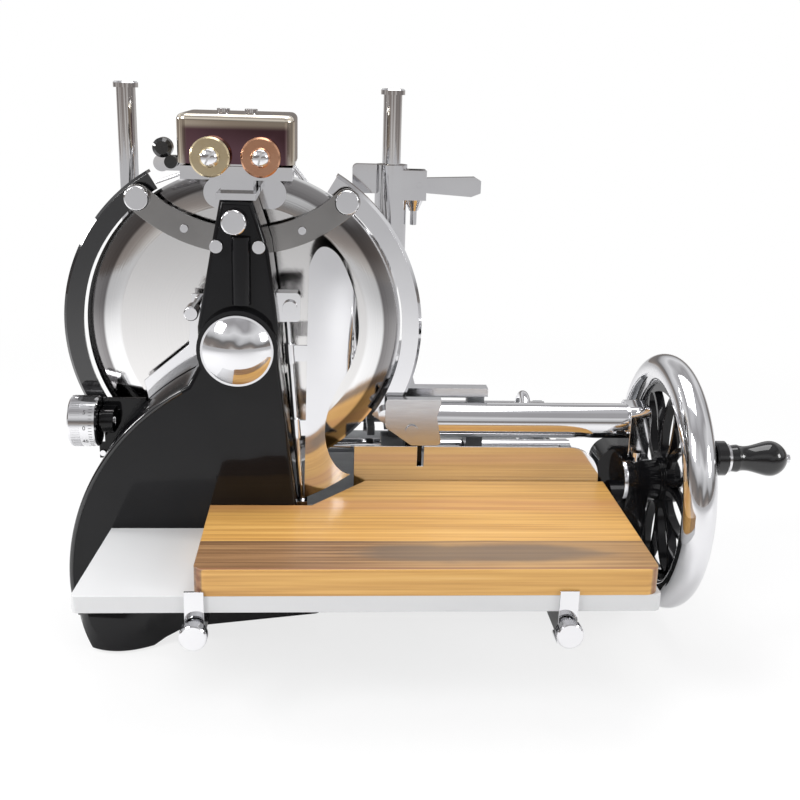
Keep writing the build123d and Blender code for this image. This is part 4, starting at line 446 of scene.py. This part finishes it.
chrome = surface(
    "chrome_plate",
    lambda line: mixed(cloud(line, 16), (0.80, 0.80, 0.81, 1), (0.68, 0.68, 0.70, 1)),
    smears,
    metallic=1.0,
)
refined("dome_cap", "frame", chrome, angle=40)

# ---------------------------------------------------------------- ring guards and yoke
# Two cast half rings cover the knife's edge, one enamelled black and one chromed that lifts off. A
# polished steel yoke riveted from strip holds their tops, with turned knobs, and a bent plate holds the
# chromed ring's foot.
refined("black_ring_guard", "frame", gloss_enamel, bevel=0.0042, segments=5)
refined("chrome_ring_guard", "frame", chrome, bevel=0.002, segments=3)
# The yoke's steel has a low base colour that is a painted dark reflection, mottled with random tone.
dark_steel = surface(
    "dark_steel",
    lambda line: mixed(cloud(line, 30, 4), (0.36, 0.35, 0.34, 1), (0.24, 0.235, 0.23, 1)),
    lambda line: cloud(line, 80, 4, (1, 1, 14)) * 0.08 + 0.08,
    metallic=1.0,
)
refined("guard_yoke", "frame", dark_steel, bevel=0.0008)
refined("guard_knobs", "frame", chrome, bevel=0.0004)
refined("guard_bracket", "frame", brushed, bevel=0.0006)
refined("small_screws", "frame", chrome, bevel=0.0006)

# ---------------------------------------------------------------- slice deflector and scraper
# The deflector is a curved blade of mirror polished steel that swings on a chromed rod from the apron. The
# scraper is a small chromed finger with a turned knob, held against the knife.
refined("deflector", "slice_deflector", chrome, angle=50)
refined("deflector_rod", "frame", chrome, bevel=0.0004)
refined("scraper", "frame", chrome, bevel=0.0004)

# ---------------------------------------------------------------- sharpener
# A plated box over two abrasive wheels stands on a chromed base on the column. A brass and a copper coloured
# button, each held by a slotted domed screw, push the wheels to the knife, and a black lever locks the base.
COVER_MIDDLE_X = -0.125
COVER_FLAT_HALF = 0.0436
COVER_EDGE_HALF = 0.051
COVER_FLAT_TOP = 0.514
COVER_EDGE_TOP = 0.52


def step_at(value, start, end):
    """A soft step from 0 at start to 1 at end."""
    return value.make(
        "ShaderNodeMapRange", {"interpolation_type": "SMOOTHSTEP"}, {0: value, 1: start, 2: end}
    )


def cover_painted_reflections(line):
    """Nickel over brass, with painted light: a painted brown reflection on the flat front and a painted warm
    highlight along the rolled edges.
    """
    side = line.make("ShaderNodeSeparateXYZ", None, {0: place_of(line)}, out=0) - COVER_MIDDLE_X
    high = line.make("ShaderNodeSeparateXYZ", None, {0: place_of(line)}, out=2)
    # The mask of the painted highlight along the rolled edges and the top.
    share = step_at(side * side, COVER_EDGE_HALF ** 2, COVER_FLAT_HALF ** 2)
    share = share * step_at(high, COVER_EDGE_TOP, COVER_FLAT_TOP)
    # The painted brown reflection on the flat front, mottled at random.
    flat = mixed(cloud(line, 24, 3), (0.2, 0.11, 0.13, 1), (0.1, 0.055, 0.075, 1))
    return mixed(share, (0.78, 0.71, 0.6, 1), flat)


cover_nickel = surface("cover_nickel", cover_painted_reflections, smears, metallic=1.0)
refined("sharpener_cover", "frame", cover_nickel, bevel=0.0004)
refined("sharpener_base", "frame", chrome, bevel=0.0004)
brass_stone = surface(
    "grinder_brass",
    lambda line: mixed(cloud(line, 60, 4), (0.66, 0.58, 0.42, 1), (0.5, 0.38, 0.2, 1)),
    lambda line: cloud(line, 120, 4) * 0.14 + 0.16,
    metallic=1.0,
)
copper_stone = surface(
    "honer_copper",
    lambda line: mixed(cloud(line, 60, 4), (0.68, 0.4, 0.26, 1), (0.45, 0.2, 0.11, 1)),
    lambda line: cloud(line, 120, 4) * 0.14 + 0.16,
    metallic=1.0,
)
refined("grinding_stone", "grinder", brass_stone)
refined("honing_stone", "honer", copper_stone)


def facing(place, axis):
    """The matrix that stands +Z on this axis at a place."""
    return Matrix.Translation(place) @ Vector(axis).to_track_quat("Z", "Y").to_matrix().to_4x4()


def slotted_head(name, place, axis, radius, height, turn, material, body):
    """A domed screw head with one slot, standing on a face."""
    steps, rings = 40, 8
    dome = bmesh.new()
    layers = []
    for ring in range(rings + 1):
        angle = math.pi / 2 * ring / rings
        layers.append([
            dome.verts.new((
                radius * math.cos(angle) * math.cos(2 * math.pi * step / steps),
                radius * math.cos(angle) * math.sin(2 * math.pi * step / steps),
                height * math.sin(angle),
            ))
            for step in range(steps)
        ] if ring < rings else [dome.verts.new((0, 0, height))])
    for lower, upper in zip(layers, layers[1:]):
        for step in range(steps):
            following = (step + 1) % steps
            if len(upper) == 1:
                dome.faces.new((lower[step], lower[following], upper[0]))
            else:
                dome.faces.new((lower[step], lower[following], upper[following], upper[step]))
    dome.faces.new(reversed(layers[0]))
    mesh = bpy.data.meshes.new(name)
    dome.to_mesh(mesh)
    dome.free()
    mesh.materials.append(material)
    head = bpy.data.objects.new(name, mesh)
    bpy.context.collection.objects.link(head)
    slot_mesh = bpy.data.meshes.new(name + "_slot")
    cutter = bmesh.new()
    bmesh.ops.create_cube(cutter, size=1.0)
    cutter.to_mesh(slot_mesh)
    cutter.free()
    slot_mesh.transform(
        Matrix.Rotation(math.radians(turn), 4, "Z") @ Matrix.Translation((0, 0, height))
        @ Matrix.Diagonal((3 * radius, 0.22 * radius, height, 1))
    )
    slot = bpy.data.objects.new(name + "_slot", slot_mesh)
    bpy.context.collection.objects.link(slot)
    cut = head.modifiers.new("slot", "BOOLEAN")
    cut.operation = "DIFFERENCE"
    cut.solver = "EXACT"
    cut.object = slot
    for piece in (head, slot):
        piece.matrix_world = facing(place, axis)
    placed(head, body)
    bpy.data.objects.remove(slot)


BUTTON_HEIGHT = 0.491
HEAD_RADIUS = 0.0078
HEAD_RISE = 0.004
TOWARDS_OPERATOR = (0, -1, 0)
for name, x, y, turn, body in (
    ("grinder_screw", -0.1475, -0.168, 60, "grinder"), ("honer_screw", -0.1025, -0.162, 75, "honer"),
):
    slotted_head(name, (x, y, BUTTON_HEIGHT), TOWARDS_OPERATOR, HEAD_RADIUS, HEAD_RISE, turn, chrome, body)
black_grip = surface(
    "grip_black",
    lambda line: mixed(cloud(line, 60), (0.004, 0.004, 0.004, 1), (0.008, 0.008, 0.009, 1)),
    lambda line: cloud(line, 90, 4) * 0.08 + 0.05,
    coat=0.6,
    coat_roughness=0.03,
    IOR=1.4,
)
refined("lock_lever", "lock", black_grip, angle=40)

# ---------------------------------------------------------------- boards, clips and backsplash
# Glued hardwood planks lie oiled on a sheet of white cutting plastic, on two black arms. Chromed straps with
# knurled thumbscrews clip both down, and a polished steel backsplash stands behind them.
PLANK_SEAM = -0.246
FRONT_FACE = -0.3052
PAST_FRONT = -0.4
WARM_REACH = (0.03, 0.5)
STAIN_PLACE = (0.1, -0.272)
STAIN_SIZE = (0.13, 0.021)
STREAK_DEPTHS = (-0.174, -0.147)
HEART_DEPTHS = (-0.25, -0.2462)
EDGE_LINE_DEPTHS = (-0.3045, -0.3018)


def grain(line, scale=5.0, fine=48.0):
    """Streaks along the planks, from 0 to 1."""
    return cloud(line, scale, 5.0, (0.9, fine, fine))


def band(value, low, high, soft):
    """1 between two values of a line, falling to 0 over a soft edge."""
    return step_at(value, low - soft, low + soft) * (1 - step_at(value, high - soft, high + soft))


def plank_colour(line):
    """Golden planks behind a brown one, with a red streak, a dark glue line and a stain on the brown."""
    along = line.make("ShaderNodeSeparateXYZ", None, {0: place_of(line)}, out=0)
    deep = line.make("ShaderNodeSeparateXYZ", None, {0: place_of(line)}, out=1)
    wander = (cloud(line, 9, 3) - 0.5) * 0.012
    golden = ramp(line, grain(line), [
        (0.3, (0.46, 0.235, 0.06)), (0.48, (0.59, 0.32, 0.086)), (0.62, (0.67, 0.385, 0.112)),
        (0.8, (0.72, 0.45, 0.155)),
    ])
    brown = ramp(line, grain(line, 4.0, 60.0), [
        (0.3, (0.14, 0.07, 0.03)), (0.5, (0.27, 0.145, 0.065)), (0.72, (0.44, 0.26, 0.12)),
    ])
    warmer = band(along, *WARM_REACH, 0.06) * 0.75
    brown = mixed(warmer * cloud(line, 12, 2), brown, (0.6, 0.36, 0.13, 1))
    oval_x = (along - STAIN_PLACE[0]) / STAIN_SIZE[0]
    oval_y = (deep - STAIN_PLACE[1]) / STAIN_SIZE[1]
    ragged = (cloud(line, 30, 4, (0.4, 1, 1)) - 0.5) * 1.6
    patch = step_at(oval_x * oval_x + oval_y * oval_y + ragged, 1.3, 0.3)
    brown = mixed(patch * 0.75, brown, (0.13, 0.095, 0.07, 1))
    streak = band(deep + wander, *STREAK_DEPTHS, 0.01) * grain(line, 3.0, 30.0)
    rear = mixed(streak * 0.75, golden, (0.52, 0.22, 0.11, 1))
    heart = band(deep + wander * 0.5, *HEART_DEPTHS, 0.001)
    top = mixed(band(deep, PAST_FRONT, PLANK_SEAM, 0.0006), rear, brown)
    top = mixed(heart * 0.5, top, (0.1, 0.05, 0.025, 1))
    edge_line = band(deep, *EDGE_LINE_DEPTHS, 0.0008)
    top = mixed(edge_line * 0.6, top, (0.22, 0.08, 0.04, 1))
    return mixed(band(deep, PAST_FRONT, FRONT_FACE, 0.0003), top, golden)


wood = surface(
    "board_wood",
    plank_colour,
    lambda line: grain(line, 8.0, 90.0) * 0.2 + 0.32,
    coat=0.12,
    bump=lambda line: grain(line, 14.0, 120.0),
    bump_strength=0.12,
    coat_roughness=0.2,
)
refined("wood_board", "frame", wood)


def knife_marks(line):
    """A few fine straight scores left in the plastic."""
    turned = line.make("ShaderNodeMapping", None, {0: place_of(line), 2: (0, 0, 1.2), 3: (60, 3, 1)})
    return line.make("ShaderNodeTexNoise", None, {"Vector": turned, "Scale": 6, "Detail": 2.0})


white_plastic = surface(
    "white_board",
    lambda line: mixed(cloud(line, 7, 4), (0.68, 0.685, 0.69, 1), (0.58, 0.585, 0.59, 1)),
    lambda line: cloud(line, 40, 4) * 0.2 + 0.35,
    bump=knife_marks,
    bump_strength=0.05,
)
refined("white_board", "frame", white_plastic, bevel=0.0006)
refined("board_arms", "frame", black_enamel, bevel=0.0006)
refined("board_clips", "frame", chrome, bevel=0.0004)
refined("backsplash", "frame", chrome, bevel=0.0004)


def ring_of_marks(name, count, radius, size, place, axis, material, body):
    """Small blocks in a ring, set by Geometry Nodes."""
    group = bpy.data.node_groups.new(name, "GeometryNodeTree")
    for title, kind, value in (
        ("Count", "NodeSocketInt", count), ("Radius", "NodeSocketFloat", radius),
        ("Size", "NodeSocketVector", size), ("Material", "NodeSocketMaterial", material),
    ):
        group.interface.new_socket(title, in_out="INPUT", socket_type=kind).default_value = value
    group.interface.new_socket("Geometry", in_out="OUTPUT", socket_type="NodeSocketGeometry")
    nodes = {title: group.nodes.new(kind) for title, kind in (
        ("inputs", "NodeGroupInput"), ("ring", "GeometryNodeMeshCircle"), ("block", "GeometryNodeMeshCube"),
        ("place", "GeometryNodeInputPosition"), ("turn", "FunctionNodeAlignRotationToVector"),
        ("set", "GeometryNodeInstanceOnPoints"), ("real", "GeometryNodeRealizeInstances"),
        ("paint", "GeometryNodeSetMaterial"), ("result", "NodeGroupOutput"),
    )}
    nodes["turn"].axis = "X"
    for source, out, target, into in (
        ("inputs", "Count", "ring", "Vertices"), ("inputs", "Radius", "ring", "Radius"),
        ("inputs", "Size", "block", "Size"), ("place", "Position", "turn", "Vector"),
        ("ring", "Mesh", "set", "Points"), ("block", "Mesh", "set", "Instance"),
        ("turn", "Rotation", "set", "Rotation"),
        ("set", "Instances", "real", "Geometry"), ("real", "Geometry", "paint", "Geometry"),
        ("inputs", "Material", "paint", "Material"), ("paint", "Geometry", "result", "Geometry"),
    ):
        group.links.new(nodes[source].outputs[out], nodes[target].inputs[into])
    marks = bpy.data.objects.new(name, bpy.data.meshes.new(name))
    bpy.context.collection.objects.link(marks)
    marks.modifiers.new("marks", "NODES").node_group = group
    marks.matrix_world = facing(place, axis)
    return placed(marks, body)


THUMBSCREW_RADIUS = 0.0119
THUMBSCREW_Y = -0.3167
THUMBSCREW_Z = 0.098
for side, x in (("left", -0.154), ("right", 0.175)):
    body = side + "_clip_screw"
    refined("clip_screw_" + side, body, chrome)
    ring_of_marks(
        side + "_clip_knurl", 44, THUMBSCREW_RADIUS, (0.0008, 0.0011, 0.0075),
        (x, THUMBSCREW_Y, THUMBSCREW_Z), (0, 1, 0), chrome, body,
    )

# ---------------------------------------------------------------- guide tube
# A drawn steel tube, chromed and polished, runs from a carrier by the chromed ring's foot to the
# flywheel's arm. A bent bracket holds its end.
refined("guide_tube", "frame", chrome, bevel=0.0004)
refined("tube_bracket", "frame", chrome, bevel=0.0004)

# ---------------------------------------------------------------- carriage, table and clamp
# A grey cast carriage slides on two ground and chromed rails in bronze bushes, under a milled steel table.
# The post carrier moves on a rack by a small handwheel. The meat clamp slides on its two chromed posts,
# and its lever tilts.
refined("slide_rails", "frame", chrome, bevel=0.0004)
refined("carriage_frame", "carriage", grey_casting, bevel=0.0005)
dress("carriage_bushes", bronze)
refined("meat_table", "carriage", brushed, bevel=0.0004)
refined("post_carrier", "feed", grey_casting)
for node, body in (
    ("clamp_posts", "feed"), ("clamp_bar", "clamp"), ("clamp_lever", "lever"),
    ("feed_handwheel", "feed_wheel"),
):
    refined(node, body, chrome)

# ---------------------------------------------------------------- flywheel and crank grip
# A spun and chromed rim is shrunk on a black enamelled web of cast petals. The crank pin is screwed into
# the rim and carries a black collar and a turned black grip between two plated caps.
refined("flywheel_rim", "flywheel", chrome)
refined("flywheel_spider", "flywheel", black_enamel, bevel=0.001)


def recoat(piece, material, inside):
    """Gives the faces whose middle passes a test a second finish."""
    piece.data.materials.append(material)
    for polygon in piece.data.polygons:
        if inside(polygon.center):
            polygon.material_index = len(piece.data.materials) - 1


COLLAR_START = 0.3345
COLLAR_END = 0.3475
recoat(
    refined("handle_pin", "flywheel", chrome), black_grip, lambda middle: COLLAR_START < middle.x < COLLAR_END
)
refined("handle_grip", "crank_grip", black_grip, angle=50)
refined("grip_caps", "crank_grip", chrome)

# ---------------------------------------------------------------- thickness dial
# A turned and chromed drum on a shaft in the bracket at the left, with a knurled rim and an engraved
# scale filled with black: fifty fine divisions and a number at every fifth.
refined("thickness_dial", "dial", chrome)
scale_black = surface(
    "scale_black", (0.02, 0.02, 0.02, 1), lambda line: cloud(line, 300, 2) * 0.2 + 0.4
)
DIAL_AXIS = (-0.1045, 0.223)
DIAL_RADIUS = 0.0256
DIVISION_X = -0.2745
NUMBER_X = -0.2802
KNURL_X = -0.2895
NUMBER_COUNT = 10
NUMBER_STEP = 5
NUMBER_SIZE = 0.0062
ring_of_marks(
    "dial_divisions", NUMBER_COUNT * NUMBER_STEP, DIAL_RADIUS, (0.0002, 0.0004, 0.0035),
    (DIVISION_X, *DIAL_AXIS), (1, 0, 0), scale_black, "dial",
)
ring_of_marks(
    "dial_knurl", 72, DIAL_RADIUS - 0.0001, (0.0008, 0.0011, 0.009),
    (KNURL_X, *DIAL_AXIS), (1, 0, 0), chrome, "dial",
)
for index in range(NUMBER_COUNT):
    angle = 2 * math.pi * index / NUMBER_COUNT
    out = Vector((0, -math.cos(angle), math.sin(angle)))
    rise = Vector((0, math.sin(angle), math.cos(angle)))
    words = bpy.data.curves.new("dial_number_%d" % index, "FONT")
    words.body = str(NUMBER_STEP * index)
    words.size = NUMBER_SIZE
    words.extrude = 0.0001
    words.align_x = "CENTER"
    words.align_y = "CENTER"
    words.materials.append(scale_black)
    number = bpy.data.objects.new("dial_number_%d" % index, words)
    bpy.context.collection.objects.link(number)
    spot = Vector((NUMBER_X, *DIAL_AXIS)) + out * DIAL_RADIUS
    number_turn = Matrix((Vector((1, 0, 0)), rise, out)).transposed()
    number.matrix_world = Matrix.Translation(spot) @ number_turn.to_4x4()
    placed(number, "dial")
